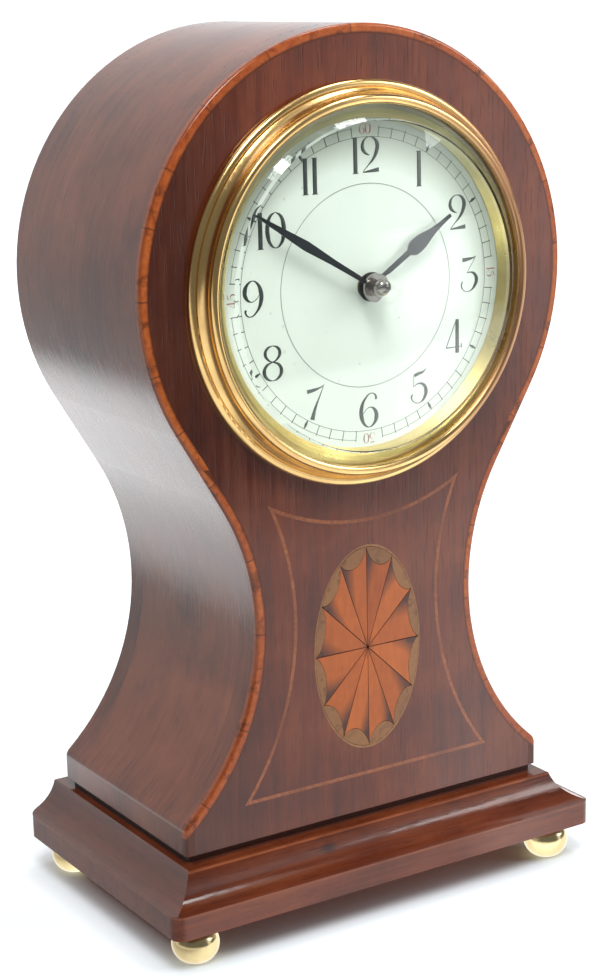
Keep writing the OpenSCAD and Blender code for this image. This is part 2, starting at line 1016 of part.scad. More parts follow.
// Wheel pressed on its arbor, with the pinion that the barrel drives
module intermediate_wheel() {
  color("#d8b458") {
    wheel(inter_p, -20.9, -19.9, 64, 0.3, aim(inter_p, [0, 0]), 2.6, 5);
    pinion(inter_p, -19.95, -15.6, 9, 0.4, gap(9, aim(barrel_p, inter_p)));
    arbor(inter_p, 0.75, -21.5, 2.8, fp_front, bp_back);
  }
}

// Going wheel with its pinion, turning on the centre arbor by a friction fit
module centre_wheel() {
  color("#d8b458")
    difference() {
      union() {
        pinion([0, 0], -21.9, -19.3, 8, 0.3, gap(8, aim(inter_p, [0, 0])));
        rod([0, 0], -19.4, centre_y0 + 0.5, 1.35);
        wheel([0, 0], centre_y0, centre_y0 + 1, 64, 0.3, aim([0, 0], third_p), 2.6, 5);
      }
      rod([0, 0], -23, 4, arbor_r + pivot_gap);
    }
}

module centre_arbor() {
  color("#9a9ca0") {
    rod([0, 0], -front_y - 7.8, bp_back + 4, arbor_r);
    translate([-0.85, bp_back + 0.3, dial_z - 0.85])
      cube([1.7, 21, 1.7]);
  }
}

module third_wheel() {
  color("#d8b458") {
    pinion(third_p, centre_y0 - 1, centre_y0 + 2, 8, 0.3, gap(8, aim([0, 0], third_p)));
    wheel(third_p, -8.5, -7.5, 60, 0.3, aim(third_p, fourth_p), 2.4, 5);
    arbor(third_p, 0.8, -21.5, 2.8, fp_front, bp_back);
  }
}

module fourth_wheel() {
  color("#d8b458") {
    pinion(fourth_p, -9.5, -6.5, 8, 0.3, gap(8, aim(third_p, fourth_p)));
    wheel(fourth_p, -3.4, -2.4, 60, 0.3, aim(fourth_p, escape_p), 2.4, 5);
    arbor(fourth_p, 0.8, -21.5, 2.8, fp_front, bp_back);
  }
}

// Escape wheel of a cylinder escapement: teeth raised on arms above the rim
module escape_wheel() {
  color("#b0b2b8") {
    pinion(escape_p, -4.6, -1.2, 6, 0.3, gap(6, aim(fourth_p, escape_p)));
    rod(escape_p, -21.5, 8.7, 0.48);
    rod(escape_p, fp_front, -21.3, 0.42);
    rod(escape_p, 8.5, 10.2, 0.42);
    translate([escape_p[0], 0, dial_z + escape_p[1]])
      rotate([0, -aim(escape_p, balance_p), 0]) {
        along_y(7.2, 7.6) {
          difference() {
            circle(r = escape_r - 1);
            circle(r = escape_r - 1.7);
          }
          difference() {
            for (a = [0 : 60 : 300])
              rotate(a)
                translate([0, -0.25])
                  square([escape_r - 1.3, 0.5]);
            circle(r = 0.3);
          }
          circle(r = 1);
          for (k = [0 : 14])
            rotate(k * 24)
              translate([escape_r - 1.15, -0.14])
                square([1.25, 0.28]);
        }
        along_y(7.55, 8.5)
          for (k = [0 : 14])
            rotate(k * 24)
              translate([escape_r, 0])
                polygon([[-0.14, -0.4], [0.12, -0.4], [0.14, 0.14], [-0.14, 0.4], [-0.17, 0.14]]);
      }
  }
}

// Plate on the back of the movement that carries the balance
module platform() {
  color("#dcc070")
    difference() {
      translate([platform_p[0], 0, dial_z + platform_p[1]])
        along_y(bp_back, plat_back) {
          square([25, 11], center = true);
          square([21, 15], center = true);
          for (x = [-10.5, 10.5])
            for (y = [-5.5, 5.5])
              translate([x, y])
                circle(r = 2);
        }
      rod(escape_p, bp_back - 1, plat_back + 1, 1.5);
      rod(balance_p, bp_back - 1, plat_back + 1, 0.3 + pivot_gap);
      for (p = platform_screws)
        rod(p, bp_back - 1, plat_back + 1, small_r);
    }
}

// Small bridge over the escape wheel
module escape_cock() {
  color("#dcc070")
    difference() {
      union() {
        rod(escape_cock_p, plat_back, 9.9, 1.6);
        translate([escape_cock_p[0], 8.9, dial_z + escape_cock_p[1]])
          rotate([0, -aim(escape_cock_p, escape_p), 0])
            translate([0, 0, -1.2])
              cube([escape_cock_len, 1, 2.4]);
        rod(escape_p, 8.9, 9.9, 1.5);
      }
      rod(escape_p, 8, 11, 0.42 + pivot_gap);
    }
}

// Balance with its staff, cut as an open cylinder where the teeth pass
module balance() {
  color("#d8b060") {
    translate([balance_p[0], 0, dial_z + balance_p[1]])
      rotate([0, -aim(escape_p, balance_p), 0]) {
        along_y(11.2, 12.2) {
          difference() {
            circle(r = 6.3);
            circle(r = 5.3);
          }
          difference() {
            for (a = [0, 180])
              rotate(a + 90)
                translate([0.3, -0.45])
                  square([5.4, 0.9]);
            circle(r = 0.5);
          }
          circle(r = 1.3);
        }
        along_y(7.05, 7.75)
          cylinder_wall(28);
        along_y(7.7, 8.7)
          cylinder_wall(70);
        along_y(8.65, 11.3)
          cylinder_wall(180);
      }
    rod(balance_p, 6.75, 7.1, cylinder_r);
    rod(balance_p, 5.4, 6.8, 0.3);
    rod(balance_p, 12.1, 14.2, 0.6);
    rod(balance_p, 14.1, 16.2, 0.3);
  }
}

// Ring of the balance cylinder kept within an angle to each side of the outward line
module cylinder_wall(half) {
  difference() {
    circle(r = cylinder_r);
    circle(r = cylinder_r - 0.16);
    if (half < 90)
      polygon([
        [0, 0], [3 * cos(half), 3 * sin(half)], [0, 6], [-6, 0], [0, -6],
        [3 * cos(half), -3 * sin(half)]
      ]);
  }
}

// Flat spiral drawn as rings joined by one bar
module hairspring() {
  color("#40506e")
    translate([balance_p[0], 0, dial_z + balance_p[1]])
      along_y(12.9, 13.2) {
        for (k = [0 : 4])
          difference() {
            circle(r = 1.1 + k * 0.6);
            circle(r = 0.98 + k * 0.6);
          }
        translate([0.99, -0.1])
          square([2.45, 0.2]);
        difference() {
          circle(r = 1.1);
          circle(r = 0.6);
        }
      }
}

// Cock that carries the balance's outer pivot
module balance_cock() {
  color("#dcc070")
    difference() {
      union() {
        rod(cock_p, plat_back, 15.6, 1.8);
        translate([cock_p[0], 14.3, dial_z + cock_p[1]])
          rotate([0, -aim(cock_p, balance_p), 0])
            translate([0, 0, -1.7])
              cube([cock_len, 1.3, 3.4]);
        rod(balance_p, 14.3, 15.6, 2.6);
      }
      rod(balance_p, 14, 17, 0.3 + pivot_gap);
    }
}

// Index that shortens or frees the hairspring
module regulator_index() {
  color("#8c8e94")
    difference() {
      union() {
        rod(balance_p, 15.65, 16.35, 2.2);
        translate([balance_p[0], 15.65, dial_z + balance_p[1]])
          rotate([0, -index_aim, 0])
            translate([1.5, 0, -0.45])
              cube([7, 0.7, 0.9]);
      }
      rod(balance_p, 15, 17, 0.42);
    }
}

module cannon_pinion() {
  color("#9a9ca0")
    difference() {
      union() {
        pinion([0, 0], cannon_y, cannon_y + 1, 12, 0.3, gap(12, 0));
        rod([0, 0], -front_y - 5.2, cannon_y - 0.05, cannon_pipe_r);
        rod([0, 0], -front_y - 5.2, cannon_y + 1, 1.3);
      }
      rod([0, 0], -front_y - 9, -20, arbor_r);
    }
}

module minute_wheel() {
  color("#d8b458")
    difference() {
      union() {
        wheel(minute_p, cannon_y, cannon_y + 1, 36, 0.3, 180, 2.2, 4);
        pinion(minute_p, hour_y - 0.4, cannon_y + 0.1, 10, 0.288, 180 + 18);
      }
      rod(minute_p, -40, -20, pivot_r + pivot_gap);
    }
}

module hour_wheel() {
  color("#d8b458")
    difference() {
      union() {
        translate([0, 0, dial_z])
          along_y(hour_y, hour_y + 0.9)
            gear_shape(40, 0.288, 0.95, 1.25, 0.07, 0.25, 0);
        rod([0, 0], -front_y - 4.1, hour_y + 0.5, hour_pipe_r);
      }
      rod([0, 0], -front_y - 9, -20, cannon_pipe_r + 0.07);
    }
}

// Two brackets that draw the dial plate and the rear ring together
module case_straps() {
  color("#c9a24a")
    for (s = [-1, 1])
      difference() {
        translate([0, 0, dial_z - 4])
          scale([s, 1, 1]) {
            translate([strap_x, dplate_back, 0])
              cube([1.5, 34.6 - dplate_back + 1.4, 8]);
            translate([strap_x, dplate_back, 0])
              cube([6.8, 1.4, 8]);
            translate([32, 34.6, 0])
              cube([strap_x - 31.9, 1.4, 8]);
          }
        strap_screw_places()
          cylinder(h = 3.4, r = small_r);
        rear_screw_places()
          cylinder(h = 6, r = small_r);
      }
}

module strap_screw_places() {
  for (s = [-1, 1])
    translate([s * (strap_x + 4.4), dplate_back + 2, dial_z])
      rotate([90, 0, 0])
        children();
}

module rear_screw_places() {
  for (s = [-1, 1])
    translate([s * 34.4, 38, dial_z])
      rotate([90, 0, 0])
        children();
}

// Turned ring on the back panel that the door closes on
module rear_ring() {
  color("#d8b050")
    difference() {
      union() {
        turned()
          polygon([
            [32.5, -front_y - 36], [back_hole_r - 0.2, -front_y - 36],
            [back_hole_r - 0.2, -front_y - back_y], [42.5, -front_y - back_y],
            [42.5, -front_y - back_y - 1.4], [36.4, -front_y - back_y - 1.4],
            [36.4, -front_y - 37.4], [32.5, -front_y - 37.4]
          ]);
        for (z = [-6.2, 3.2])
          translate([hinge_x, hinge_y, dial_z + z])
            cylinder(h = 3, r = 1.2);
        for (z = [-6.2, 3.2])
          translate([hinge_x - 2.2, back_y, dial_z + z])
            cube([2.2, 1.4, 3]);
      }
      translate([hinge_x, hinge_y, dial_z - 10])
        cylinder(h = 20, r = 0.6);
      rear_screw_places()
        cylinder(h = 6, r = small_r);
    }
}

// Round door on its hinge at the back, with a small knob
module rear_door() {
  color("#e0b850")
    difference() {
      union() {
        rod([0, 0], back_y + 1.5, back_y + 2.5, 40);
        rod([-34, 0], back_y + 2.4, back_y + 4.4, 1.8);
        translate([hinge_x, hinge_y, dial_z - 3.1])
          cylinder(h = 6.2, r = 1.2);
        translate([38, back_y + 1.5, dial_z - 3.1])
          cube([hinge_x - 38, 1, 6.2]);
      }
      translate([hinge_x, hinge_y, dial_z - 10])
        cylinder(h = 20, r = 0.6 + pivot_gap);
    }
}

module door_pin() {
  color("#b8b8b8")
    translate([hinge_x, hinge_y, dial_z - 6.6])
      cylinder(h = 13.2, r = 0.6);
}

front_panel();
case_sides();
back_panel();
bottom_board();
neck_board();
plinth_core();
plinth_slab();
plinth_front_moulding();
plinth_left_moulding();
plinth_right_moulding();
foot_front_left();
foot_front_right();
foot_back_left();
foot_back_right();
wood_screws();
edge_string();
panel_string();
medallion_border();
medallion_scallops();
medallion_flutes();
bezel();
bezel_pins();
bezel_glass();
sight_ring();
dial();
dial_plate();
hour_hand();
minute_hand();
hand_nut();
front_plate();
back_plate();
pillars();
movement_posts();
movement_screws();
barrel();
barrel_cover();
barrel_arbor();
mainspring();
ratchet_wheel();
click();
click_spring();
intermediate_wheel();
centre_wheel();
centre_arbor();
third_wheel();
fourth_wheel();
escape_wheel();
platform();
escape_cock();
balance();
hairspring();
balance_cock();
regulator_index();
cannon_pinion();
minute_wheel();
hour_wheel();
case_straps();
rear_ring();
rear_door();
door_pin();
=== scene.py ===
# %% [markdown]
# # Balloon mantel clock
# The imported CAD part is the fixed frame: every turned, sawn or cut piece already has its shape.
# Here it gets its polish, veneer, enamel and brass, and the fine painted marks of the dial.

# %% Load the frame
import math
import bpy
from mathutils import Matrix, Vector


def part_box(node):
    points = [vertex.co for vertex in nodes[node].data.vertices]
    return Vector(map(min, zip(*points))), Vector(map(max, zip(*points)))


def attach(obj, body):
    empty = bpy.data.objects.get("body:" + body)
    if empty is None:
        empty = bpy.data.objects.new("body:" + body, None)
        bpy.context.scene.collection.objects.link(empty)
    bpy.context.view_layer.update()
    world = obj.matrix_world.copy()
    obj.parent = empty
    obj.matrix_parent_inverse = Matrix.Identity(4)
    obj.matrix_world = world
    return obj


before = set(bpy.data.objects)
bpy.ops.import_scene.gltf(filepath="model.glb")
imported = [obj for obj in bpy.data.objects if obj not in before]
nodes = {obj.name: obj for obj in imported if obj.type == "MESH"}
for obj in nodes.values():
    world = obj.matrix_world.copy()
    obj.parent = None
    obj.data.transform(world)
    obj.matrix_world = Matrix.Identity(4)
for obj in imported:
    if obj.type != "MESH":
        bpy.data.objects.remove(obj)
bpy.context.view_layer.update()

bpy.ops.object.select_all(action="DESELECT")
bpy.context.scene.view_settings.view_transform = "Standard"

# %% [markdown]
# ## Where things are
# A few sizes of the clock, in millimetres, taken from the frame where it knows them.
# The dial's middle is read from the dial itself, so the marks stay on it.

# %% Measure the dial
MM = 0.001
dial_low, dial_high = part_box("dial")
dial_z = (dial_low[2] + dial_high[2]) / 2 / MM
dial_front = dial_low[1] / MM
dial_r = (dial_high[0] - dial_low[0]) / 2 / MM
dial_rise = 0.3
print("dial middle z", round(dial_z, 2), "front y", round(dial_front, 2), "radius", round(dial_r, 2))

# %% [markdown]
# ## Camera
# The photograph looks down a little from the front left. The focal length, the place and the
# slight roll come from fitting the bezel circles, the panel and the plinth corners.

# %% Camera
FOCAL_PIXELS, IMAGE_HEIGHT, SENSOR_HEIGHT = 2071.2, 978, 24
CAMERA_PLACE = Vector((-0.3067, -0.4835, 0.2542))
yaw, pitch, roll = (math.radians(angle) for angle in (32.31, -13.78, -1.27))
ahead = Vector((math.sin(yaw) * math.cos(pitch), math.cos(yaw) * math.cos(pitch), math.sin(pitch)))
level = Vector((math.cos(yaw), -math.sin(yaw), 0))
upward = level.cross(ahead)
right = level * math.cos(roll) + upward * math.sin(roll)
upward = right.cross(ahead)
camera_data = bpy.data.cameras.new("camera")
camera_data.sensor_fit = "VERTICAL"
camera_data.sensor_height = SENSOR_HEIGHT
camera_data.lens = SENSOR_HEIGHT * FOCAL_PIXELS / IMAGE_HEIGHT
camera_data.clip_start = 0.01
camera_data.clip_end = 100
camera = bpy.data.objects.new("camera", camera_data)
bpy.context.collection.objects.link(camera)
turn = Matrix((right, upward, -ahead)).transposed()
camera.matrix_world = Matrix.Translation(CAMERA_PLACE) @ turn.to_4x4()
bpy.context.scene.camera = camera
print("lens", round(camera_data.lens, 2), "mm on a frame", SENSOR_HEIGHT, "mm high")

# %% [markdown]
# ## Building materials from nodes
# Small helpers keep the materials short. They add a node and fill its sockets, wire two
# sockets, do sums on numbers or sockets, mix two colours, and turn one range into another.
# Patterns start from the object's own coordinates, so they stay in the wood or metal when
# the piece moves.

# %% Node helpers
def add(tree, kind, settings=None, **inputs):
    made = tree.nodes.new(kind)
    for name, value in (settings or {}).items():
        setattr(made, name, value)
    for name, value in inputs.items():
        made.inputs[name.replace("_", " ")].default_value = value
    return made


def wire(tree, start, end):
    tree.links.new(start, end)


def figure(tree, operation, first, second=None, third=None):
    made = add(tree, "ShaderNodeMath", {"operation": operation})
    for socket, value in zip(made.inputs, (first, second, third)):
        if isinstance(value, (int, float)):
            socket.default_value = value
        elif value is not None:
            wire(tree, value, socket)
    return made.outputs[0]


def distance(tree, first, second):
    return figure(tree, "SQRT", figure(tree, "ADD", figure(tree, "MULTIPLY", first, first),
                                       figure(tree, "MULTIPLY", second, second)))


def spread(tree, value, low, high, new_low=0.0, new_high=1.0):
    made = add(tree, "ShaderNodeMapRange", {"clamp": True})
    wire(tree, value, made.inputs[0])
    for place, number in enumerate((low, high, new_low, new_high), 1):
        made.inputs[place].default_value = number
    return made.outputs[0]


def blend_colours(tree, factor, first, second):
    made = add(tree, "ShaderNodeMix", {"data_type": "RGBA"})
    for socket, value in ((made.inputs[0], factor), (made.inputs[6], first), (made.inputs[7], second)):
        if isinstance(value, tuple):
            socket.default_value = (*value, 1)
        else:
            wire(tree, value, socket)
    return made.outputs[2]


# %% Material helpers
def new_material(name, **values):
    made = bpy.data.materials.new(name)
    made.use_nodes = True
    shader = made.node_tree.nodes["Principled BSDF"]
    for key, value in values.items():
        shader.inputs[key.replace("_", " ")].default_value = value
    return made, made.node_tree, shader


def object_place(tree, scale=(1, 1, 1), shift=(0, 0, 0)):
    coordinates = tree.nodes.new("ShaderNodeTexCoord")
    mapping = add(tree, "ShaderNodeMapping", Scale=scale, Location=shift)
    wire(tree, coordinates.outputs["Object"], mapping.inputs["Vector"])
    return mapping.outputs["Vector"]


def split(tree, vector):
    parts = tree.nodes.new("ShaderNodeSeparateXYZ")
    wire(tree, vector, parts.inputs[0])
    return parts.outputs


def finish_with_bump(tree, shader, height, strength, depth):
    bump = add(tree, "ShaderNodeBump", Strength=strength, Distance=depth)
    wire(tree, height, bump.inputs["Height"])
    wire(tree, bump.outputs["Normal"], shader.inputs["Normal"])
    return bump


def paint(material, *names):
    for name in names:
        mesh = nodes[name].data
        mesh.materials.clear()
        mesh.materials.append(material)
    print(material.name, "on", ", ".join(names))


# %% [markdown]
# ## Effects that several finishes share
# Wood grain and the fine marks of age are node groups, so that each finish sets its own
# colours and strengths on the group's sockets.

# %% Group helpers
def new_group(name, inputs, outputs):
    group = bpy.data.node_groups.new(name, "ShaderNodeTree")
    kinds = {"f": "NodeSocketFloat", "c": "NodeSocketColor", "v": "NodeSocketVector"}
    for label, kind, value in inputs:
        socket = group.interface.new_socket(name=label, in_out="INPUT", socket_type=kinds[kind])
        if value is not None:
            socket.default_value = value
    for label, kind in outputs:
        group.interface.new_socket(name=label, in_out="OUTPUT", socket_type=kinds[kind])
    return group, group.nodes.new("NodeGroupInput").outputs, group.nodes.new("NodeGroupOutput").inputs


def place_group(tree, group, vector, **inputs):
    made = add(tree, "ShaderNodeGroup", {"node_tree": group}, **inputs)
    wire(tree, vector, made.inputs["Vector"])
    return made


def noise(tree, vector, scale, detail=3.0, roughness=0.5, distortion=0.0):
    made = add(tree, "ShaderNodeTexNoise", Scale=scale, Detail=detail, Roughness=roughness,
               Distortion=distortion)
    wire(tree, vector, made.inputs["Vector"])
    return made.outputs["Fac"]


# %% [markdown]
# The grain group expects a vector that is already stretched along the grain: one unit is then
# a millimetre across the fibres. It adds broad ribbons, fine fibres and short dark pores,
# which is what makes mahogany read as mahogany.

# %% Wood grain group
wood_grain, asked, given = new_group(
    "wood grain",
    [("Vector", "v", None), ("Place", "v", None), ("Dark", "c", (0.05, 0.012, 0.006, 1)),
     ("Middle", "c", (0.13, 0.035, 0.014, 1)), ("Light", "c", (0.22, 0.07, 0.03, 1)),
     ("Ribbon", "f", 0.5), ("Pores", "f", 0.5), ("Blotches", "f", 0.4)],
    [("Color", "c"), ("Roughness", "f"), ("Height", "f")])
ribbon = noise(wood_grain, asked["Vector"], 0.10, 3, 0.5, 0.8)
fibres = noise(wood_grain, asked["Vector"], 0.55, 5, 0.62)
pores = noise(wood_grain, asked["Vector"], 1.9, 2, 0.5)
blotches = noise(wood_grain, asked["Place"], 34, 4, 0.6)
fibre_mask = spread(wood_grain, fibres, 0.30, 0.70)
pore_mask = spread(wood_grain, pores, 0.57, 0.68)
tone = figure(wood_grain, "MULTIPLY_ADD", fibre_mask, 0.34, 0.33)
tone = figure(wood_grain, "MULTIPLY_ADD", spread(wood_grain, ribbon, 0.30, 0.70, -0.5, 0.5),
              asked["Ribbon"], tone)
tone = figure(wood_grain, "MULTIPLY_ADD", spread(wood_grain, blotches, 0.3, 0.7, -0.5, 0.5),
              asked["Blotches"], tone)
lower = blend_colours(wood_grain, spread(wood_grain, tone, 0.0, 0.5), asked["Dark"], asked["Middle"])
upper = blend_colours(wood_grain, spread(wood_grain, tone, 0.5, 1.0), lower, asked["Light"])
pored = blend_colours(wood_grain, figure(wood_grain, "MULTIPLY", pore_mask, asked["Pores"]), upper,
                      asked["Dark"])
wire(wood_grain, pored, given["Color"])
wire(wood_grain, spread(wood_grain, fibres, 0.3, 0.7, -0.04, 0.05), given["Roughness"])
wire(wood_grain, figure(wood_grain, "SUBTRACT", figure(wood_grain, "MULTIPLY", fibre_mask, 0.3), pore_mask),
     given["Height"])
print("wood grain group:", len(wood_grain.nodes), "nodes")

# %% [markdown]
# Old polish is never perfectly even. This group gives a soft unevenness in height, small
# specks and a faint cloudiness, used by wood, brass and enamel in different strengths.

# %% Age group
age_marks, asked, given = new_group(
    "age marks", [("Vector", "v", None), ("Speck Size", "f", 700.0), ("Cloud Size", "f", 40.0)],
    [("Specks", "f"), ("Clouds", "f"), ("Waves", "f")])
speck_cells = add(age_marks, "ShaderNodeTexVoronoi")
wire(age_marks, asked["Vector"], speck_cells.inputs["Vector"])
wire(age_marks, asked["Speck Size"], speck_cells.inputs["Scale"])
speck_gate = noise(age_marks, asked["Vector"], 160, 2, 0.5)
speck_shape = spread(age_marks, speck_cells.outputs["Distance"], 0.10, 0.18, 1, 0)
wire(age_marks, figure(age_marks, "MULTIPLY", speck_shape, spread(age_marks, speck_gate, 0.60, 0.66)),
     given["Specks"])
cloud = add(age_marks, "ShaderNodeTexNoise", Detail=4.0, Roughness=0.55)
wire(age_marks, asked["Vector"], cloud.inputs["Vector"])
wire(age_marks, asked["Cloud Size"], cloud.inputs["Scale"])
wire(age_marks, spread(age_marks, cloud.outputs["Fac"], 0.35, 0.65), given["Clouds"])
wire(age_marks, noise(age_marks, asked["Vector"], 90, 2, 0.5), given["Waves"])
print("age marks group:", len(age_marks.nodes), "nodes")

# %% [markdown]
# ## Mahogany
# The case is veneered in polished mahogany: an upright grain on the front, a grain that runs
# round the case on the sides, and grain along each moulding of the plinth. One function makes
# them all; what differs is the axis of the grain, the colours and the gloss.
#
# Four marks come on top where a piece asks for them: painted shade that darkens the front
# towards one side, paler lines and bands at a given height (painted highlights on the arrises of
# the plinth), a knot, and the rim of a panel, over which the side's veneer runs on.

# %% Marks on the mahogany
ACROSS_GRAIN, GRAIN_STRETCH = 1000, 16
SPECK_COLOUR, SHADE_COLOUR = (0.02, 0.008, 0.006), (0.035, 0.009, 0.006)
PALE_BAND_COLOUR, KNOT_COLOUR = (0.40, 0.110, 0.040), (0.012, 0.006, 0.005)
KNOT_SCALE = (260, 260, 600)
SIDE_TONES = (0.085, 0.017, 0.007), (0.200, 0.050, 0.019), (0.300, 0.084, 0.033)
SIDE_FIGURE = {"Ribbon": 0.25, "Pores": 0.6, "Blotches": 0.8}
SIDE_POLISH = 0.13


def lay_grain(tree, place, along, tones, strengths):
    dark, middle, light = ((*tone, 1) for tone in tones)
    scale = [ACROSS_GRAIN / GRAIN_STRETCH if axis in along else ACROSS_GRAIN for axis in "xyz"]
    grain = place_group(tree, wood_grain, object_place(tree, scale), Dark=dark, Middle=middle,
                        Light=light, **strengths)
    wire(tree, place, grain.inputs["Place"])
    return grain


# Paler bands at given heights, made patchy by noise; on an arris they are painted highlights.
def rub_through(tree, place, colour, wear_and_pale_bands):
    height = split(tree, place)["Z"]
    patchy = noise(tree, object_place(tree, (60, 60, 60)), 1.0, 3, 0.6)
    for at_height, half, strength in wear_and_pale_bands:
        away = figure(tree, "ABSOLUTE", figure(tree, "SUBTRACT", height, at_height * MM))
        line = figure(tree, "MULTIPLY", spread(tree, away, 0.4 * half * MM, half * MM, 1.0, 0.0),
                      spread(tree, patchy, 0.35, 0.60, 0.25 * strength, strength))
        colour = blend_colours(tree, line, colour, PALE_BAND_COLOUR)
    return colour


def add_knot(tree, colour, knot):
    shift = [-part * rate * MM for part, rate in zip(knot, KNOT_SCALE)]
    away = add(tree, "ShaderNodeVectorMath", {"operation": "LENGTH"})
    wire(tree, object_place(tree, KNOT_SCALE, shift), away.inputs[0])
    return blend_colours(tree, spread(tree, away.outputs["Value"], 0.35, 1.0, 0.85, 0.0), colour, KNOT_COLOUR)


# %% Mahogany
def mahogany(name, along, tones, ribbon=0.35, pores=0.45, blotches=0.45, polish=0.16, knot=None,
             shaded=None, wear_and_pale_bands=(), rim=None):
    material, tree, shader = new_material(name, Specular_IOR_Level=0.5)
    place = object_place(tree)
    grain = lay_grain(tree, place, along, tones, {"Ribbon": ribbon, "Pores": pores, "Blotches": blotches})
    age = place_group(tree, age_marks, place, Speck_Size=520.0, Cloud_Size=26.0)
    colour = blend_colours(tree, figure(tree, "MULTIPLY", age.outputs["Specks"], 0.5),
                           grain.outputs["Color"], SPECK_COLOUR)
    gloss = polish
    # Painted shade: the front darkens towards one side.
    if shaded is not None:
        start, end, share = shaded
        edge = spread(tree, split(tree, place)["X"], start * MM, end * MM, 0.0, share)
        colour = blend_colours(tree, edge, colour, SHADE_COLOUR)
    if rim is not None:
        edge = spread(tree, split(tree, place)["Y"], rim[0] * MM, rim[1] * MM)
        around = lay_grain(tree, place, "xz", SIDE_TONES, SIDE_FIGURE)
        colour = blend_colours(tree, edge, colour, around.outputs["Color"])
        gloss = figure(tree, "MULTIPLY_ADD", edge, SIDE_POLISH - polish, polish)
    if wear_and_pale_bands:
        colour = rub_through(tree, place, colour, wear_and_pale_bands)
    if knot is not None:
        colour = add_knot(tree, colour, knot)
    wire(tree, colour, shader.inputs["Base Color"])
    wire(tree, figure(tree, "ADD", grain.outputs["Roughness"], gloss), shader.inputs["Roughness"])
    skin = add(tree, "ShaderNodeBump", Strength=0.16, Distance=0.0003)
    wire(tree, age.outputs["Waves"], skin.inputs["Height"])
    surface = finish_with_bump(tree, shader, grain.outputs["Height"], 0.30, 0.00003)
    wire(tree, skin.outputs["Normal"], surface.inputs["Normal"])
    return material


# %% [markdown]
# Each piece of the case gets its own wood. The slab is the reddest, the mouldings are the
# darkest and glossiest, the back is plain and dull, and the boards inside were never polished.

# %% Wood of the case
front_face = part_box("front_panel")[0][1] / MM
back_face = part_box("back_panel")[1][1] / MM
print("front face y", round(front_face, 2), "back face y", round(back_face, 2))
paint(mahogany("mahogany front", "z", ((0.070, 0.012, 0.005), (0.182, 0.036, 0.013), (0.290, 0.072, 0.024)),
               ribbon=0.24, blotches=0.62, shaded=(-28, -52, 0.55),
               rim=(front_face + 0.04, front_face + 0.10)), "front_panel")
# The side gets two paler bands, a narrow one low near its foot and a broad one across its middle.
paint(mahogany("mahogany side", "xz", SIDE_TONES, ribbon=0.25, pores=0.6, blotches=0.8,
               polish=SIDE_POLISH, wear_and_pale_bands=((30.2, 5.0, 0.60), (75, 38, 0.70))), "case_sides")
paint(mahogany("plain mahogany back", "z",
               ((0.055, 0.014, 0.007), (0.120, 0.034, 0.015), (0.190, 0.060, 0.027)), pores=0.7,
               polish=0.30, rim=(back_face - 0.04, back_face - 0.10)), "back_panel")
# The slab and the front moulding get a painted highlight line along their top arris.
paint(mahogany("mahogany slab", "x", ((0.095, 0.015, 0.006), (0.235, 0.050, 0.017), (0.370, 0.098, 0.033)),
               polish=0.14, wear_and_pale_bands=((16.85, 0.40, 0.9),)), "plinth_slab")
paint(mahogany("mahogany front moulding", "x",
               ((0.050, 0.009, 0.004), (0.125, 0.026, 0.009), (0.220, 0.055, 0.019)), polish=0.12,
               knot=(-18, -39, 22), wear_and_pale_bands=((24.95, 0.36, 0.9),)), "plinth_front_moulding")
paint(mahogany("mahogany side moulding", "y",
               ((0.060, 0.013, 0.006), (0.140, 0.033, 0.014), (0.180, 0.054, 0.024)), polish=0.12),
      "plinth_left_moulding", "plinth_right_moulding")
# The neck board and plinth core show only in the gap under the body; their dark colour is painted shade for
# that gap.
paint(mahogany("wood darkened as painted shade", "x", ((0.050, 0.012, 0.006), (0.085, 0.022, 0.011), (0.120, 0.034, 0.017)),
               polish=0.3), "neck_board", "plinth_core")
paint(mahogany("inner wood", "x", ((0.16, 0.08, 0.035), (0.28, 0.15, 0.07), (0.38, 0.22, 0.11)), pores=0.2,
               polish=0.5), "bottom_board")

# %% [markdown]
# ## Edge stringing
# The line along the front edge is laid in lengths of orange-brown wood, so its tone changes
# from length to length, and old polish has gathered dark in the seam on its inner side. Both
# are worked out from the outline itself, which is a circle above and a hollow arc on each side:
# the depth below the outline finds the seam, and the way along the arc finds the joints.

# %% Outline of the case
head_r, head_z = 67.0, dial_z + 0.9
waist_r, waist_x, waist_z = 67.0, 102.4, 86.7
meet_z = head_z - head_r * (head_z - waist_z) / math.hypot(waist_x, head_z - waist_z)


def arc(tree, across, upright, radius):
    along = figure(tree, "MULTIPLY", figure(tree, "ARCTAN2", across, upright), radius)
    return distance(tree, across, upright), along


def outline(tree):
    parts = split(tree, object_place(tree, (1000, 1000, 1000)))
    x, z = parts["X"], parts["Z"]
    head_away, head_along = arc(tree, x, figure(tree, "SUBTRACT", z, head_z), head_r)
    waist_away, waist_along = arc(tree, figure(tree, "SUBTRACT", z, waist_z),
                                  figure(tree, "SUBTRACT", waist_x, figure(tree, "ABSOLUTE", x)), waist_r)
    high = figure(tree, "GREATER_THAN", z, meet_z)
    low = figure(tree, "SUBTRACT", 1, high)
    depth = figure(tree, "ADD", figure(tree, "MULTIPLY", high, figure(tree, "SUBTRACT", head_r, head_away)),
                   figure(tree, "MULTIPLY", low, figure(tree, "SUBTRACT", waist_away, waist_r)))
    along = figure(tree, "ADD", figure(tree, "MULTIPLY", high, head_along),
                   figure(tree, "MULTIPLY", low, figure(tree, "ADD", waist_along, figure(tree, "SIGN", x))))
    return depth, along


print("head and waist arcs meet at z", round(meet_z, 1))

# %% [markdown]
# The stringing itself: lengths of about 21 mm with a tone each, lighter and darker fibres, a
# dark seam at the inner edge, dark joints, and bruises where the edge has been knocked.

# %% Edge stringing
STRING_WIDTH, STRING_LENGTH = 2.6, 21
SEAM_COLOUR, OUTER_COLOUR = (0.045, 0.010, 0.005), (0.16, 0.036, 0.014)
JOINT_COLOUR, BRUISE_COLOUR = (0.06, 0.014, 0.006), (0.10, 0.020, 0.008)


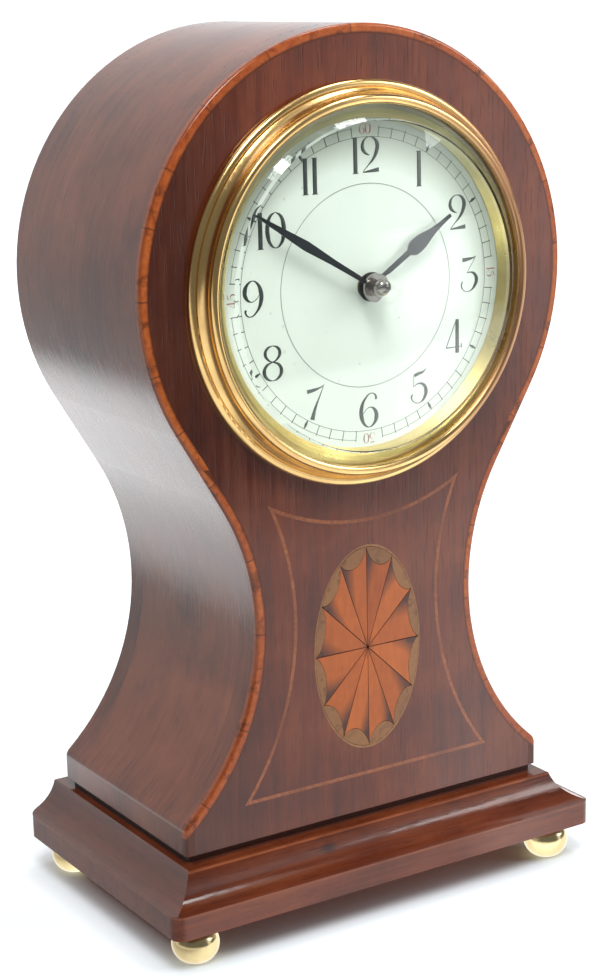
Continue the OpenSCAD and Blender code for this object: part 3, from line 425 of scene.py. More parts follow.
def edge_stringing():
    material, tree, shader = new_material("edge stringing", Specular_IOR_Level=0.4)
    depth, along = outline(tree)
    lengths = add(tree, "ShaderNodeTexVoronoi", {"voronoi_dimensions": "1D"}, Scale=1 / STRING_LENGTH)
    wire(tree, along, lengths.inputs["W"])
    joints = add(tree, "ShaderNodeTexVoronoi",
                 {"voronoi_dimensions": "1D", "feature": "DISTANCE_TO_EDGE"}, Scale=1 / STRING_LENGTH)
    wire(tree, along, joints.inputs["W"])
    tone = add(tree, "ShaderNodeSeparateColor")
    wire(tree, lengths.outputs["Color"], tone.inputs["Color"])
    fibres = noise(tree, object_place(tree), 650, 4, 0.6)
    mixed = figure(tree, "MULTIPLY_ADD", spread(tree, fibres, 0.3, 0.7), 0.55,
                   figure(tree, "MULTIPLY", tone.outputs["Red"], 0.45))
    colour = blend_colours(tree, mixed, (0.40, 0.070, 0.014), (0.74, 0.200, 0.046))
    colour = blend_colours(tree, spread(tree, depth, 0.2, 0.9, 0.45, 0.0), colour, OUTER_COLOUR)
    seam = spread(tree, depth, STRING_WIDTH - 0.75, STRING_WIDTH - 0.1, 0.0, 0.85)
    colour = blend_colours(tree, seam, colour, SEAM_COLOUR)
    colour = blend_colours(tree, spread(tree, joints.outputs["Distance"], 0.006, 0.016, 0.6, 0), colour,
                           JOINT_COLOUR)
    bruises = noise(tree, object_place(tree), 210, 3, 0.65)
    colour = blend_colours(tree, spread(tree, bruises, 0.56, 0.68, 0.0, 0.7), colour, BRUISE_COLOUR)
    wire(tree, colour, shader.inputs["Base Color"])
    wire(tree, spread(tree, fibres, 0.3, 0.7, 0.14, 0.24), shader.inputs["Roughness"])
    finish_with_bump(tree, shader, fibres, 0.3, 0.00006)
    return material


paint(edge_stringing(), "edge_string")

# %% [markdown]
# ## Thin lines
# The panel line and the border of the oval are strips about one millimetre wide. Polish and
# age have brought them close to the colour of the veneer, and small stretches are rubbed
# darker.

# %% Thin lines
def thin_line(name, dark, light, wear_and_pale_bands):
    material, tree, shader = new_material(name, Specular_IOR_Level=0.5)
    place = object_place(tree)
    fibres = noise(tree, place, 900, 4, 0.6)
    patchy = noise(tree, place, 60, 3, 0.6)
    colour = blend_colours(tree, spread(tree, fibres, 0.3, 0.7), dark, light)
    colour = blend_colours(tree, spread(tree, patchy, 0.45, 0.68, 0, 0.7), colour, wear_and_pale_bands)
    wire(tree, colour, shader.inputs["Base Color"])
    wire(tree, spread(tree, fibres, 0.3, 0.7, 0.16, 0.26), shader.inputs["Roughness"])
    finish_with_bump(tree, shader, fibres, 0.2, 0.00005)
    return material


paint(thin_line("panel line wood", (0.30, 0.080, 0.030), (0.50, 0.165, 0.062), (0.20, 0.050, 0.020)),
      "panel_string")
paint(thin_line("border wood", (0.32, 0.130, 0.042), (0.50, 0.235, 0.082), (0.22, 0.075, 0.026)),
      "medallion_border")

# %% [markdown]
# ## Medallion
# The medallion has twelve flutes of satinwood. Each was dipped in hot sand along one edge,
# which scorches the wood: dark at the joint and at the tip, fading across the flute and
# towards the middle. The shading is worked out from the angle around the oval, so it belongs
# to each flute wherever the light comes from.

# %% Way around the oval
FLUTES = 12
oval_z, oval_w, oval_h = 75.0, 17.6, 29.35


def oval_polar(tree):
    place = object_place(tree)
    parts = split(tree, place)
    across = figure(tree, "DIVIDE", parts["X"], oval_w * MM)
    upright = figure(tree, "DIVIDE", figure(tree, "SUBTRACT", parts["Z"], oval_z * MM), oval_h * MM)
    angle = figure(tree, "ARCTAN2", across, upright)
    turns = figure(tree, "DIVIDE", figure(tree, "ADD", angle, 2 * math.pi), math.radians(360 / FLUTES))
    return place, turns, distance(tree, across, upright)


def tone_each(tree, turns):
    each = add(tree, "ShaderNodeTexWhiteNoise", {"noise_dimensions": "1D"})
    wire(tree, figure(tree, "FLOOR", turns), each.inputs["W"])
    return each.outputs["Value"]


# %% Flutes
SCORCH_COLOUR, FLUTE_JOINT_COLOUR = (0.050, 0.022, 0.020), (0.11, 0.028, 0.012)
HEART_COLOUR = (0.19, 0.048, 0.018)


def flute_wood():
    material, tree, shader = new_material("sand shaded satinwood", Specular_IOR_Level=0.42)
    place, turns, radius = oval_polar(tree)
    part = figure(tree, "FRACT", turns)
    grain = noise(tree, object_place(tree, (700, 700, 160)), 1.0, 4, 0.6)
    mottle = noise(tree, place, 190, 3, 0.6)
    tone = figure(tree, "MULTIPLY_ADD", tone_each(tree, turns), 0.40, figure(tree, "MULTIPLY", grain, 0.45))
    tone = figure(tree, "MULTIPLY_ADD", mottle, 0.35, figure(tree, "SUBTRACT", tone, 0.10))
    colour = blend_colours(tree, tone, (0.33, 0.058, 0.010), (0.86, 0.225, 0.042))
    reach = figure(tree, "MULTIPLY_ADD", spread(tree, radius, 0.30, 1.0), 0.60, 0.03)
    scorch = spread(tree, figure(tree, "DIVIDE", part, reach), 0.15, 1.0, 1.0, 0.0)
    scorch = figure(tree, "MULTIPLY", scorch, spread(tree, radius, 0.35, 0.85))
    scorch = figure(tree, "MULTIPLY", scorch, spread(tree, mottle, 0.3, 0.7, 0.8, 1.15))
    colour = blend_colours(tree, figure(tree, "MINIMUM", scorch, 0.94), colour, SCORCH_COLOUR)
    joint = figure(tree, "MINIMUM", part, figure(tree, "SUBTRACT", 1.0, part))
    width = figure(tree, "MULTIPLY", joint, radius)
    line = figure(tree, "MULTIPLY", spread(tree, width, 0.004, 0.020, 0.75, 0.0),
                  spread(tree, radius, 0.05, 0.5, 0.3, 1))
    colour = blend_colours(tree, line, colour, FLUTE_JOINT_COLOUR)
    colour = blend_colours(tree, spread(tree, radius, 0.0, 0.13, 0.75, 0.0), colour, HEART_COLOUR)
    wire(tree, colour, shader.inputs["Base Color"])
    wire(tree, spread(tree, grain, 0.3, 0.7, 0.15, 0.24), shader.inputs["Roughness"])
    finish_with_bump(tree, shader, grain, 0.2, 0.00004)
    return material


paint(flute_wood(), "medallion_flutes")

# %% [markdown]
# The scallops between the flutes' round ends are a burr veneer, mottled and curled, with a
# tone of its own for each.

# %% Scallops
def scallop_wood():
    material, tree, shader = new_material("scallop veneer", Specular_IOR_Level=0.5)
    place, turns, _ = oval_polar(tree)
    mottle = noise(tree, place, 420, 3, 0.6)
    curls = noise(tree, place, 150, 2, 0.5, 1.5)
    tone = figure(tree, "MULTIPLY_ADD", tone_each(tree, turns), 0.4, figure(tree, "MULTIPLY", mottle, 0.6))
    colour = blend_colours(tree, tone, (0.22, 0.080, 0.025), (0.48, 0.215, 0.068))
    colour = blend_colours(tree, spread(tree, mottle, 0.57, 0.66, 0, 0.6), colour, (0.13, 0.045, 0.016))
    colour = blend_colours(tree, spread(tree, curls, 0.55, 0.62, 0, 0.3), colour, (0.15, 0.055, 0.02))
    wire(tree, colour, shader.inputs["Base Color"])
    wire(tree, spread(tree, mottle, 0.3, 0.7, 0.15, 0.26), shader.inputs["Roughness"])
    finish_with_bump(tree, shader, mottle, 0.2, 0.00004)
    return material


paint(scallop_wood(), "medallion_scallops")

# %% [markdown]
# ## Brass and steel
# Turned brass shows very fine rings around the dial's axis, which the eye reads as a slightly
# soft reflection along the ring. The rings are noise on the distance from the axis; a little
# cloudiness keeps the lacquer from looking new. Other metal has a fine straight grain instead.
# Where asked, a band of the brass gets a painted tint along one axis, which stands for light that falls
# there: a reflection on one piece, shade on another.

# %% Metals
RING_SCALE, BRUSHED_SCALE = 2400.0, (300, 300, 6000)
PAINTED_TINT_SHARE, PAINTED_TINT_DULLING = 0.85, 0.16


def metal(name, colour, roughness, turned=False, tarnish=0.25, darker=(0.30, 0.16, 0.05),
          metallic=1.0, painted_reflection_and_shade=None):
    material, tree, shader = new_material(name, Metallic=metallic)
    place = object_place(tree)
    age = place_group(tree, age_marks, place, Speck_Size=900.0, Cloud_Size=60.0)
    mixed = blend_colours(tree, figure(tree, "MULTIPLY", age.outputs["Clouds"], tarnish), colour, darker)
    mixed = blend_colours(tree, figure(tree, "MULTIPLY", age.outputs["Specks"], 0.6), mixed, darker)
    rough = spread(tree, age.outputs["Clouds"], 0, 1, roughness * 0.8, roughness * 1.4)
    # Painted reflection and shade: a tint laid into the colour along one axis.
    if painted_reflection_and_shade is not None:
        axis, start, end, tint_colour = painted_reflection_and_shade
        brown = spread(tree, split(tree, place)[axis], start * MM, end * MM)
        mixed = blend_colours(tree, figure(tree, "MULTIPLY", brown, PAINTED_TINT_SHARE), mixed, tint_colour)
        rough = figure(tree, "MULTIPLY_ADD", brown, PAINTED_TINT_DULLING, rough)
    wire(tree, mixed, shader.inputs["Base Color"])
    wire(tree, rough, shader.inputs["Roughness"])
    if turned:
        parts = split(tree, place)
        radius = distance(tree, parts["X"], figure(tree, "SUBTRACT", parts["Z"], dial_z * MM))
        rings = add(tree, "ShaderNodeTexNoise", {"noise_dimensions": "1D"}, Scale=RING_SCALE, Detail=4.0)
        wire(tree, radius, rings.inputs["W"])
        lines = rings.outputs["Fac"]
    else:
        lines = noise(tree, object_place(tree, BRUSHED_SCALE), 1.0, 4, 0.6)
    finish_with_bump(tree, shader, lines, 0.10, 0.00003)
    return material


# %% [markdown]
# The bezel is painted brown at its right as the reflection of the mahogany there, and the ring
# under the glass is painted grey-green at its top as the shade there. The rear ring and door have
# lost their lacquer altogether; the feet are paler than the rest.

# %% Brass
ring_brass = metal("mottled brass under the glass", (0.92, 0.72, 0.28), 0.30, turned=True, tarnish=0.75,
                   darker=(0.56, 0.40, 0.16), painted_reflection_and_shade=("Z", dial_z + 14, dial_z + 36, (0.36, 0.37, 0.26)))
paint(ring_brass, "sight_ring")
paint(metal("turned brass, painted reflection at the right", (0.82, 0.56, 0.23), 0.19, turned=True, tarnish=0.45,
            darker=(0.46, 0.27, 0.11), painted_reflection_and_shade=("X", 10, 42, (0.46, 0.235, 0.130))), "bezel")
paint(metal("aged plain brass", (0.50, 0.36, 0.155), 0.30, turned=True, tarnish=0.55,
            darker=(0.27, 0.17, 0.07)), "rear_ring", "rear_door")
paint(metal("pale brass", (0.80, 0.66, 0.36), 0.16, tarnish=0.55, darker=(0.38, 0.26, 0.11)),
      "foot_front_left", "foot_front_right", "foot_back_left", "foot_back_right")
paint(metal("grained plate brass", (0.66, 0.47, 0.20), 0.28), "dial_plate", "front_plate", "back_plate",
      "platform", "escape_cock", "balance_cock", "case_straps")
paint(metal("wheel brass", (0.83, 0.62, 0.28), 0.22, turned=True, tarnish=0.2), "pillars",
      "movement_posts", "barrel", "barrel_cover", "intermediate_wheel", "centre_wheel", "third_wheel",
      "fourth_wheel", "minute_wheel", "hour_wheel", "balance", "bezel_pins")

# %% [markdown]
# Steel is bright on arbors and screws, blued on springs, and nearly black on the hands, whose
# blue has gone dull with age.

# %% Steel
paint(metal("bright steel", (0.44, 0.45, 0.47), 0.22, darker=(0.30, 0.29, 0.28)), "wood_screws",
      "barrel_arbor", "ratchet_wheel", "click", "centre_arbor", "escape_wheel", "regulator_index",
      "cannon_pinion", "door_pin")
paint(metal("spring steel", (0.16, 0.19, 0.28), 0.22, darker=(0.08, 0.08, 0.10)), "movement_screws",
      "mainspring", "click_spring", "hairspring")
paint(metal("dark blued steel", (0.026, 0.030, 0.036), 0.34, darker=(0.016, 0.016, 0.020), metallic=0.85),
      "hour_hand", "minute_hand")
paint(metal("nut steel", (0.36, 0.32, 0.31), 0.12, darker=(0.16, 0.13, 0.13)), "hand_nut")

# %% [markdown]
# ## Enamel and glass
# The dial is white enamel on copper: glossy, faintly green and with a few tiny black specks.
# The bezel's shadow is painted into the enamel's edge as a grey shade, greyest at the top.

# %% Enamel
DIAL_SHADE_X, DIAL_SHADE_Z, DIAL_SHADE_COLOUR = -2.5, dial_z - 7, (0.27, 0.29, 0.22)
DIAL_SHADE_FROM, DIAL_SHADE_TO, DIAL_SHADE_SHARE = 37.5, 47, 0.80
ENAMEL_SPECK_COLOUR = (0.25, 0.23, 0.20)


def enamel():
    material, tree, shader = new_material("white enamel", Coat_Weight=1.0, Coat_Roughness=0.04,
                                          Roughness=0.35)
    place = object_place(tree)
    age = place_group(tree, age_marks, place, Speck_Size=420.0, Cloud_Size=30.0)
    colour = blend_colours(tree, age.outputs["Clouds"], (0.76, 0.78, 0.73), (0.80, 0.82, 0.77))
    parts = split(tree, place)
    # Painted shade of the bezel: grey outside a circle set a little low and to the left, widest at the top
    # and right.
    radius = distance(tree, figure(tree, "SUBTRACT", parts["X"], DIAL_SHADE_X * MM),
                      figure(tree, "SUBTRACT", parts["Z"], DIAL_SHADE_Z * MM))
    dial_shade = spread(tree, radius, DIAL_SHADE_FROM * MM, DIAL_SHADE_TO * MM, 0.0, DIAL_SHADE_SHARE)
    colour = blend_colours(tree, dial_shade, colour, DIAL_SHADE_COLOUR)
    colour = blend_colours(tree, figure(tree, "MULTIPLY", age.outputs["Specks"], 0.35), colour,
                           ENAMEL_SPECK_COLOUR)
    wire(tree, colour, shader.inputs["Base Color"])
    finish_with_bump(tree, shader, age.outputs["Waves"], 0.05, 0.0002)
    return material


paint(enamel(), "dial")

# %% [markdown]
# The glass is thick and ground to a bevel at its rim. Light that only casts shadow is let
# through it, so the dial stays bright without caustics. The marks are fired ink, thinner and
# paler in places.

# %% Glass and ink
def clear_glass():
    material, tree, shader = new_material("clear glass", Base_Color=(0.93, 0.985, 0.95, 1), Roughness=0.0,
                                          IOR=1.5, Transmission_Weight=1.0)
    path = tree.nodes.new("ShaderNodeLightPath")
    through = add(tree, "ShaderNodeBsdfTransparent", Color=(0.96, 0.99, 0.97, 1))
    mixed = tree.nodes.new("ShaderNodeMixShader")
    wire(tree, path.outputs["Is Shadow Ray"], mixed.inputs[0])
    wire(tree, shader.outputs[0], mixed.inputs[1])
    wire(tree, through.outputs[0], mixed.inputs[2])
    wire(tree, mixed.outputs[0], tree.nodes["Material Output"].inputs["Surface"])
    return material


def ink(name, colour):
    material, tree, shader = new_material(name, Roughness=0.35, Coat_Weight=0.6, Coat_Roughness=0.05)
    fade = noise(tree, object_place(tree), 900, 3, 0.6)
    thin = tuple(part * 1.8 + 0.02 for part in colour)
    wire(tree, blend_colours(tree, spread(tree, fade, 0.4, 0.75), colour, thin), shader.inputs["Base Color"])
    return material


paint(clear_glass(), "bezel_glass")
black_ink = ink("fired black ink", (0.012, 0.016, 0.015))
red_ink = ink("fired red-brown ink", (0.26, 0.075, 0.055))

# %% [markdown]
# ## Bedding of the glass
# The flat back of the glass's rim is bedded on the sloping ring with a thin film of gilt
# putty, which is what shows through the rim. A circle is extruded inwards to a flat washer,
# which is then given its thickness; it lies just inside the glass, clear of its back face.

# %% Bedding of the glass
BEDDING_FRONT, BEDDING_THICK = dial_front - 2.35, 0.04
BEDDING_OUT, BEDDING_IN, BEDDING_SIDES = dial_r + 3.65, dial_r + 1.35, 160
middle = (0, BEDDING_FRONT * MM, dial_z * MM)
inwards = BEDDING_IN / BEDDING_OUT
bpy.ops.object.select_all(action="DESELECT")
bpy.ops.mesh.primitive_circle_add(vertices=BEDDING_SIDES, radius=BEDDING_OUT * MM, location=middle,
                                  rotation=(math.pi / 2, 0, 0))
bedding = bpy.context.object
bedding.name = bedding.data.name = "glass_bedding"
bpy.ops.object.transform_apply(location=True, rotation=True, scale=True)
bpy.ops.object.mode_set(mode="EDIT")
bpy.ops.mesh.select_all(action="SELECT")
bpy.ops.mesh.extrude_edges_move()
bpy.ops.transform.resize(value=(inwards, 1, inwards), center_override=middle)
bpy.ops.mesh.select_all(action="SELECT")
bpy.ops.mesh.extrude_region_move(TRANSFORM_OT_translate={"value": (0, BEDDING_THICK * MM, 0)})
bpy.ops.mesh.select_all(action="SELECT")
bpy.ops.mesh.normals_make_consistent(inside=False)
bpy.ops.object.mode_set(mode="OBJECT")
bedding.data.materials.append(ring_brass)
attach(bedding, "case_body")
print("bedding ring:", len(bedding.data.polygons), "faces,",
      "size", [round(side / MM, 2) for side in bedding.dimensions])

# %% [markdown]
# ## Numbers and minute track
# On the real dial the marks are fired ink, drawn with a pen that swells and thins. Each stroke
# here is a curve whose radius is the half-width of the pen at that point. Turned into a mesh
# and pressed flat, it is a thin film of ink that is laid on the gently domed enamel.

# %% Pen strokes
STROKES = {
    "1": [[(0, -4.6, .64), (0, 4.6, .64)], [(-.95, -4.6, .1), (.95, -4.6, .1)], [(-.95, 4.6, .1),
          (.7, 4.6, .1)]],
    "2": [[(-.1, -.1, .10), (-1.1, .3, .34), (-2.15, 1.4, .62), (-2.3, 2.8, .52), (-1.4, 4.2, .2),
          (0, 4.65, .1), (1.3, 4.2, .36), (2.3, 2.7, .70), (2.1, .9, .66), (1.0, -1.1, .42),
          (-.6, -2.7, .17), (-2.2, -4.2, .11)], [(-2.3, -4.42, .16), (-.5, -4.25, .34),
          (2.75, -3.95, .66)]],
    "3": [[(-2.3, 4.0, .62), (-.2, 4.2, .46), (1.5, 4.5, .2), (2.3, 4.85, .09)], [(1.9, 4.4, .09),
          (-.8, .5, .09)], [(-.9, .4, .09), (.5, .55, .2), (1.8, -.1, .48), (2.4, -1.5, .68),
          (1.8, -3.2, .5), (.4, -4.45, .16), (-.9, -4.65, .09), (-2.2, -4.0, .14), (-2.7, -2.9, .24),
          (-2.3, -1.8, .2)]],
    "4": [[(.9, -4.7, .62), (.9, 4.6, .56)], [(.6, 4.5, .12), (-2.8, -2.9, .16)], [(-2.9, -3.0, .2),
          (2.2, -3.0, .1)], [(2.3, -3.4, .12), (2.3, -2.2, .2)]],
    "5": [[(-1.7, 3.0, .5), (-.2, 3.5, .5), (1.2, 3.8, .3), (2.2, 4.6, .08)], [(-1.9, 3.2, .09),
          (-2.0, .0, .09)], [(-2.0, .0, .09), (-.4, .75, .2), (1.2, .4, .45), (2.15, -1.3, .68),
          (1.6, -3.3, .5), (.2, -4.5, .13), (-1.0, -4.55, .1), (-2.3, -3.8, .16), (-2.7, -2.7, .28),
          (-2.3, -2.1, .24)]],
    "6": [[(2.3, 2.7, .34), (2.3, 3.6, .26), (1.0, 4.55, .1), (-1.0, 3.4, .28), (-2.4, .6, .6),
          (-2.3, -1.9, .62), (-1.3, -3.9, .32), (0, -4.6, .1), (1.5, -3.9, .36), (2.4, -2.2, .66),
          (2.1, -.4, .52), (.6, .75, .12), (-.8, .3, .09), (-1.9, -.9, .1)]],
    "7": [[(-2.6, 3.2, .6), (-.4, 3.5, .5), (1.6, 3.95, .2), (2.9, 4.6, .08)], [(2.5, 4.1, .11),
          (1.2, 1.4, .2), (-.2, -1.6, .46), (-1.1, -4.4, .78)]],
    "8": [[(0, 4.55, .1), (1.6, 3.9, .42), (2.2, 2.5, .56), (1.5, 1.1, .36), (0, .35, .12),
          (-1.5, 1.1, .36), (-2.2, 2.5, .56), (-1.6, 3.9, .42), (0, 4.55, .1)], [(0, .25, .12),
          (1.8, -.5, .44), (2.6, -2.2, .64), (1.8, -3.9, .44), (0, -4.6, .1), (-1.8, -3.9, .44),
          (-2.6, -2.2, .64), (-1.8, -.5, .44), (0, .25, .12)]],
    "0": [[(0, 4.55, .1), (1.5, 3.6, .45), (2.35, 1.4, .72), (2.35, -1.4, .72), (1.5, -3.6, .45),
          (0, -4.55, .1), (-1.5, -3.6, .45), (-2.35, -1.4, .72), (-2.35, 1.4, .72), (-1.5, 3.6, .45),
          (0, 4.55, .1)]],
}
STROKES["9"] = [[(-x, -y, half) for x, y, half in stroke] for stroke in STROKES["6"]]
DIGIT_WIDTH, NARROW_DIGITS = 6.3, {"1": 2.9}
INK_FILM, INK_SINK = 0.03, 0.004
print("pen strokes for the digits", "".join(STROKES))

# %% [markdown]
# A drawing is one curve object that gathers strokes. Writing sets digits side by side around
# a middle point, and may turn them. Laying a drawing on the dial makes it a mesh, presses it
# to a film and follows the dome of the enamel.

# %% Drawing and writing
def start_drawing(name):
    bpy.ops.object.select_all(action="DESELECT")
    bpy.ops.curve.primitive_bezier_curve_add(location=(0, 0, 0))
    drawing = bpy.context.object
    drawing.name = name
    drawing.data.name = name
    drawing.data.splines.clear()
    drawing.data.dimensions = "3D"
    drawing.data.bevel_depth = MM
    drawing.data.bevel_resolution = 1
    drawing.data.use_fill_caps = True
    drawing.data.resolution_u = 6
    return drawing


def pen(drawing, points, closed=False, smooth=True):
    line = drawing.data.splines.new("BEZIER" if smooth else "POLY")
    places = line.bezier_points if smooth else line.points
    places.add(len(points) - 1)
    line.use_cyclic_u = closed
    for place, (x, z, half) in zip(places, points):
        place.co = (x * MM, 0, z * MM) if smooth else (x * MM, 0, z * MM, 1)
        place.radius = half
        if smooth:
            place.handle_left_type = place.handle_right_type = "AUTO"


def write(drawing, word, middle, size=1.0, turn=0.0):
    widths = [NARROW_DIGITS.get(digit, DIGIT_WIDTH) for digit in word]
    start = -sum(widths) / 2
    for digit, width in zip(word, widths):
        shift = start + width / 2
        start += width
        for stroke in STROKES[digit]:
            placed = []
            for x, y, half in stroke:
                x, y = (x + shift) * size, y * size
                placed.append((middle[0] + x * math.cos(turn) + y * math.sin(turn),
                               middle[1] - x * math.sin(turn) + y * math.cos(turn), half * size))
            pen(drawing, placed)


def lay_on_dial(drawing, material):
    bpy.ops.object.select_all(action="DESELECT")
    drawing.select_set(True)
    bpy.context.view_layer.objects.active = drawing
    bpy.ops.object.convert(target="MESH")
    mesh = bpy.context.object.data
    widest = max(abs(vertex.co.y) for vertex in mesh.vertices)
    for vertex in mesh.vertices:
        x, z = vertex.co.x / MM, vertex.co.z / MM
        surface = dial_front + dial_rise * (x * x + z * z) / dial_r ** 2
        depth = surface - INK_SINK + INK_FILM * vertex.co.y / widest
        vertex.co = (x * MM, depth * MM, (z + dial_z) * MM)
    mesh.materials.clear()
    mesh.materials.append(material)
    bpy.ops.object.shade_smooth()
    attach(drawing, "case_body")
    print(drawing.name, len(mesh.polygons), "faces")


# %% [markdown]
# The hour numbers are placed one by one, because the narrow 1 and the two-digit numbers sit
# a little off an even circle on the real dial.

# %% Hour numbers
numbers = start_drawing("dial_numbers")
places = {"12": (0, 34.2), "1": (17.1, 29.6), "2": (29.6, 17.1), "3": (33.7, 0), "4": (28.6, -16.5),
          "5": (16.7, -28.9), "6": (0, -33.4), "7": (-16.9, -29.3), "8": (-29.8, -17.2), "9": (-35.2, 0),
          "10": (-29.4, 17.0), "11": (-17.2, 29.8)}
for word, middle in places.items():
    write(numbers, word, middle)
lay_on_dial(numbers, black_ink)

# %% [markdown]
# The minute track has two fine circles with a tick for every minute and a small lozenge for
# every fifth, and a third circle farther in. The outer circle stops for the red quarter
# numbers, whose tops point outwards.

# %% Minute track
FINE_LINE, TICK_LINE = 0.07, 0.13
INNER_CIRCLE, TRACK_CIRCLE, OUTER_CIRCLE, TICK_END = 26.9, 38.9, 41.3, 41.7
LOZENGE = ((39.0, 0.2), (40.1, 0.48), (41.2, 0.2))


def on_dial(radius, minute):
    angle = math.radians(6 * minute)
    return radius * math.sin(angle), radius * math.cos(angle)


def circle(drawing, radius, first=0.0, last=60.0):
    closed = last - first >= 60
    count = int((last - first) * 3)
    minutes = [first + (last - first) * step / count for step in range(count + (not closed))]
    pen(drawing, [(*on_dial(radius, minute), FINE_LINE) for minute in minutes], closed, smooth=False)


track = start_drawing("dial_track")
circle(track, INNER_CIRCLE)
circle(track, TRACK_CIRCLE)
for quarter in range(4):
    circle(track, OUTER_CIRCLE, quarter * 15 + 1, quarter * 15 + 14)
for minute in range(60):
    if minute % 15 == 0:
        continue
    marks = ((TRACK_CIRCLE, TICK_LINE), (TICK_END, TICK_LINE))
    if minute % 5 == 0:
        marks = LOZENGE
    pen(track, [(*on_dial(radius, minute), half) for radius, half in marks], smooth=False)
lay_on_dial(track, black_ink)

# %% [markdown]
# The quarter numbers are the same digits in red, smaller, and turned with the circle.

# %% Quarter numbers
QUARTER_RADIUS, QUARTER_SIZE = 41.0, 0.30
quarters = start_drawing("dial_quarter_numbers")
for minute in (60, 15, 30, 45):
    write(quarters, str(minute), on_dial(QUARTER_RADIUS, minute), QUARTER_SIZE, math.radians(6 * minute))
lay_on_dial(quarters, red_ink)

# %% [markdown]
# ## Bright and dark parts of the room
# What the polish and the brass mirror matters more than the lamps. The room is bright behind
# the clock and dark on both sides and in front, apart from one doorway at the front right.
# One function tells the bright part from the dark by the direction on the floor or in the
# room, so that floor and room meet without a seam. Directions count from straight in front,
# with the clock's right positive.

# %% Bright and dark parts of the room
LEFT_WALL, DOOR_FROM, DOOR_TO, RIGHT_WALL, SOFT = (math.radians(angle) for angle in (-118, 34, 50, 120, 5))


def bright_part(tree, x, y):
    heading = figure(tree, "ARCTAN2", x, figure(tree, "MULTIPLY", y, -1))
    behind = figure(tree, "MAXIMUM", spread(tree, heading, LEFT_WALL - SOFT, LEFT_WALL + SOFT, 1.0, 0.0),
                    spread(tree, heading, RIGHT_WALL - SOFT, RIGHT_WALL + SOFT))
    door = figure(tree, "MULTIPLY", spread(tree, heading, DOOR_FROM - SOFT, DOOR_FROM + SOFT),
                  spread(tree, heading, DOOR_TO - SOFT, DOOR_TO + SOFT, 1.0, 0.0))
    return figure(tree, "MAXIMUM", behind, door)


def ray_kinds(tree):
    path = tree.nodes.new("ShaderNodeLightPath").outputs
    return path["Is Camera Ray"], figure(tree, "MAXIMUM", path["Is Glossy Ray"], path["Is Transmission Ray"])


print("doorway from", round(math.degrees(DOOR_FROM)), "to", round(math.degrees(DOOR_TO)), "degrees")

# %% [markdown]
# ## Floor
# The clock stands on a white sheet, which the camera sees as white with only the soft shadow
# left on it. Mirror and glass rays see its parts: white in front as far as its end, with the
# dark room and the bright doorway beyond, plain white behind, a brighter patch behind the
# clock's left, and less light close beside the clock's left. These parts are masks on the
# floor's own place.

# %% Floor in the polish
SHEET_END, SHEET_SOFT, SHEET_LEVEL = -0.43, 0.02, 1.45
DARK_LEVEL, DOOR_LEVEL_NEAR, DOOR_LEVEL_FAR, DOOR_ON_SHEET = 0.20, 1.15, 2.1, 0.6
BACK_SOFT, BACK_LEVEL, PATCH_LEVEL = 0.08, 1.0, 1.75
PATCH_ACROSS, PATCH_BEHIND = (-0.180, -0.115), (0.05, 0.27, 0.35, 1.0)
BESIDE_ACROSS, BESIDE_AWAY = (-0.060, -0.080), (0.11, 0.15, 0.55, 0.0)


def mirrored_floor(tree, x, y, away):
    bright = bright_part(tree, x, y)
    front = figure(tree, "MULTIPLY_ADD", bright,
                   spread(tree, away, 0.6, 1.0, DOOR_LEVEL_NEAR, DOOR_LEVEL_FAR), DARK_LEVEL)
    sheet = spread(tree, y, SHEET_END - SHEET_SOFT, SHEET_END + SHEET_SOFT, 0.0, SHEET_LEVEL)
    front = figure(tree, "MULTIPLY_ADD", figure(tree, "MULTIPLY", bright, sheet), DOOR_ON_SHEET,
                   figure(tree, "MAXIMUM", front, sheet))
    patch = figure(tree, "MULTIPLY", spread(tree, x, *PATCH_ACROSS), spread(tree, y, *PATCH_BEHIND))
    back = figure(tree, "MULTIPLY_ADD", patch, PATCH_LEVEL, BACK_LEVEL)
    whole = figure(tree, "MULTIPLY_ADD", spread(tree, y, -BACK_SOFT, BACK_SOFT),
                   figure(tree, "SUBTRACT", back, front), front)
    beside = figure(tree, "MULTIPLY", spread(tree, x, *BESIDE_ACROSS), spread(tree, away, *BESIDE_AWAY))
    return figure(tree, "MULTIPLY", whole, figure(tree, "SUBTRACT", 1.0, beside))

# %% [markdown]
# The sheet's own glow, which only the camera sees, is left out between the feet and grows
# outwards from them, so that the soft shadow stays close to the plinth as in the photograph.

# %% Floor
FEET_HALF_WIDTH, FEET_HALF_DEPTH = 0.058, 0.034
NEAR_GLOW, FAR_GLOW = (0.002, 0.018, 0.0, 0.58), (0.12, 0.9, 0.0, 0.5)
FLOOR_SEEN, FLOOR_LIGHTING, FLOOR_MIRRORED = (0.66, 0.72, 0.76), (0.32, 0.32, 0.32), (0.02, 0.02, 0.02)


def past(tree, value, half):
    return figure(tree, "MAXIMUM", figure(tree, "SUBTRACT", figure(tree, "ABSOLUTE", value), half), 0.0)


bpy.ops.object.select_all(action="DESELECT")
bpy.ops.mesh.primitive_plane_add(size=200, location=(0, 0, 0))
floor = bpy.context.object
floor.name = "floor"
floor_material, tree, shader = new_material("white sheet", Roughness=0.9, Specular_IOR_Level=0.0,
                                            Emission_Color=(0.97, 0.985, 1.0, 1))
place = split(tree, object_place(tree))
x, y = place["X"], place["Y"]
away = distance(tree, x, y)
camera_ray, mirror_ray = ray_kinds(tree)
seen = blend_colours(tree, camera_ray, FLOOR_LIGHTING, FLOOR_SEEN)
wire(tree, blend_colours(tree, mirror_ray, seen, FLOOR_MIRRORED), shader.inputs["Base Color"])
gap = distance(tree, past(tree, x, FEET_HALF_WIDTH), past(tree, y, FEET_HALF_DEPTH))
glow = figure(tree, "ADD", spread(tree, gap, *NEAR_GLOW), spread(tree, away, *FAR_GLOW))
strength = figure(tree, "MULTIPLY", mirror_ray, mirrored_floor(tree, x, y, away))
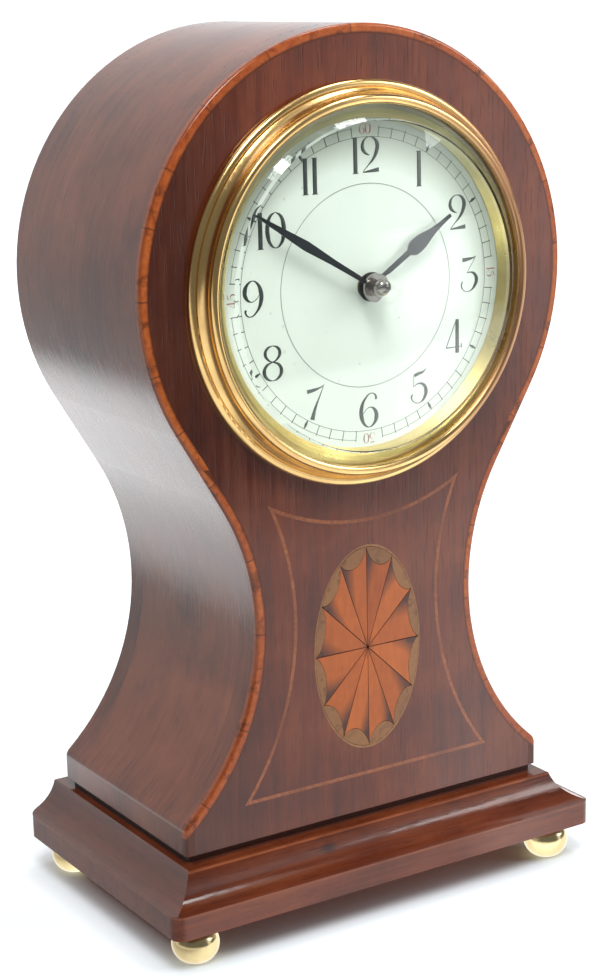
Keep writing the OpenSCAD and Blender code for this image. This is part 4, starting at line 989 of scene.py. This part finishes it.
wire(tree, figure(tree, "MULTIPLY_ADD", camera_ray, glow, strength), shader.inputs["Emission Strength"])
floor.data.materials.append(floor_material)
print("floor:", len(tree.nodes), "nodes")

# %% [markdown]
# ## Room and lamps
# The room goes on above the sheet: bright and dark in the same directions for mirror and
# glass rays, white for the camera, and a low even level for all other light.

# %% Room
ROOM_LEVEL, ROOM_DARK, ROOM_BRIGHT, ROOM_SEEN = 0.12, 0.20, 0.85, 1.06
world = bpy.data.worlds.new("room")
bpy.context.scene.world = world
world.use_nodes = True
room = world.node_tree
background = room.nodes["Background"]
background.inputs["Color"].default_value = (0.96, 0.98, 1.0, 1)
aim = split(room, room.nodes.new("ShaderNodeTexCoord").outputs["Generated"])
mirrored = figure(room, "MULTIPLY_ADD", bright_part(room, aim["X"], aim["Y"]), ROOM_BRIGHT, ROOM_DARK)
camera_ray, mirror_ray = ray_kinds(room)
extra = figure(room, "SUBTRACT", mirrored, ROOM_LEVEL)
strength = figure(room, "MULTIPLY_ADD", mirror_ray, extra, ROOM_LEVEL)
strength = figure(room, "MAXIMUM", strength, figure(room, "MULTIPLY", camera_ray, ROOM_SEEN))
wire(room, strength, background.inputs["Strength"])
print("room:", len(room.nodes), "nodes")

# %% [markdown]
# A soft window at the front left draws the hands' shadows on the dial, one overhead is the
# white streak on the glass, and a large one at the right fills in the front.

# %% Lamps
def window(name, place, target, width, height, power):
    data = bpy.data.lights.new(name, "AREA")
    data.shape = "RECTANGLE"
    data.size = width
    data.size_y = height
    data.energy = power
    lamp = bpy.data.objects.new(name, data)
    bpy.context.collection.objects.link(lamp)
    lamp.location = place
    lamp.rotation_euler = (Vector(target) - Vector(place)).to_track_quat("-Z", "Y").to_euler()
    print(name, "gives", round(power / math.pi / width / height, 1), "per steradian")


window("window front left", (-0.45, -0.70, 1.50), (0, 0, 0.14), 0.60, 0.60, 18)
window("window overhead", (0.47, 0.0, 1.42), (0, 0, 0.2), 0.56, 0.34, 6)
window("window right", (1.3, -0.8, 0.9), (0, 0, 0.12), 0.8, 0.8, 12)
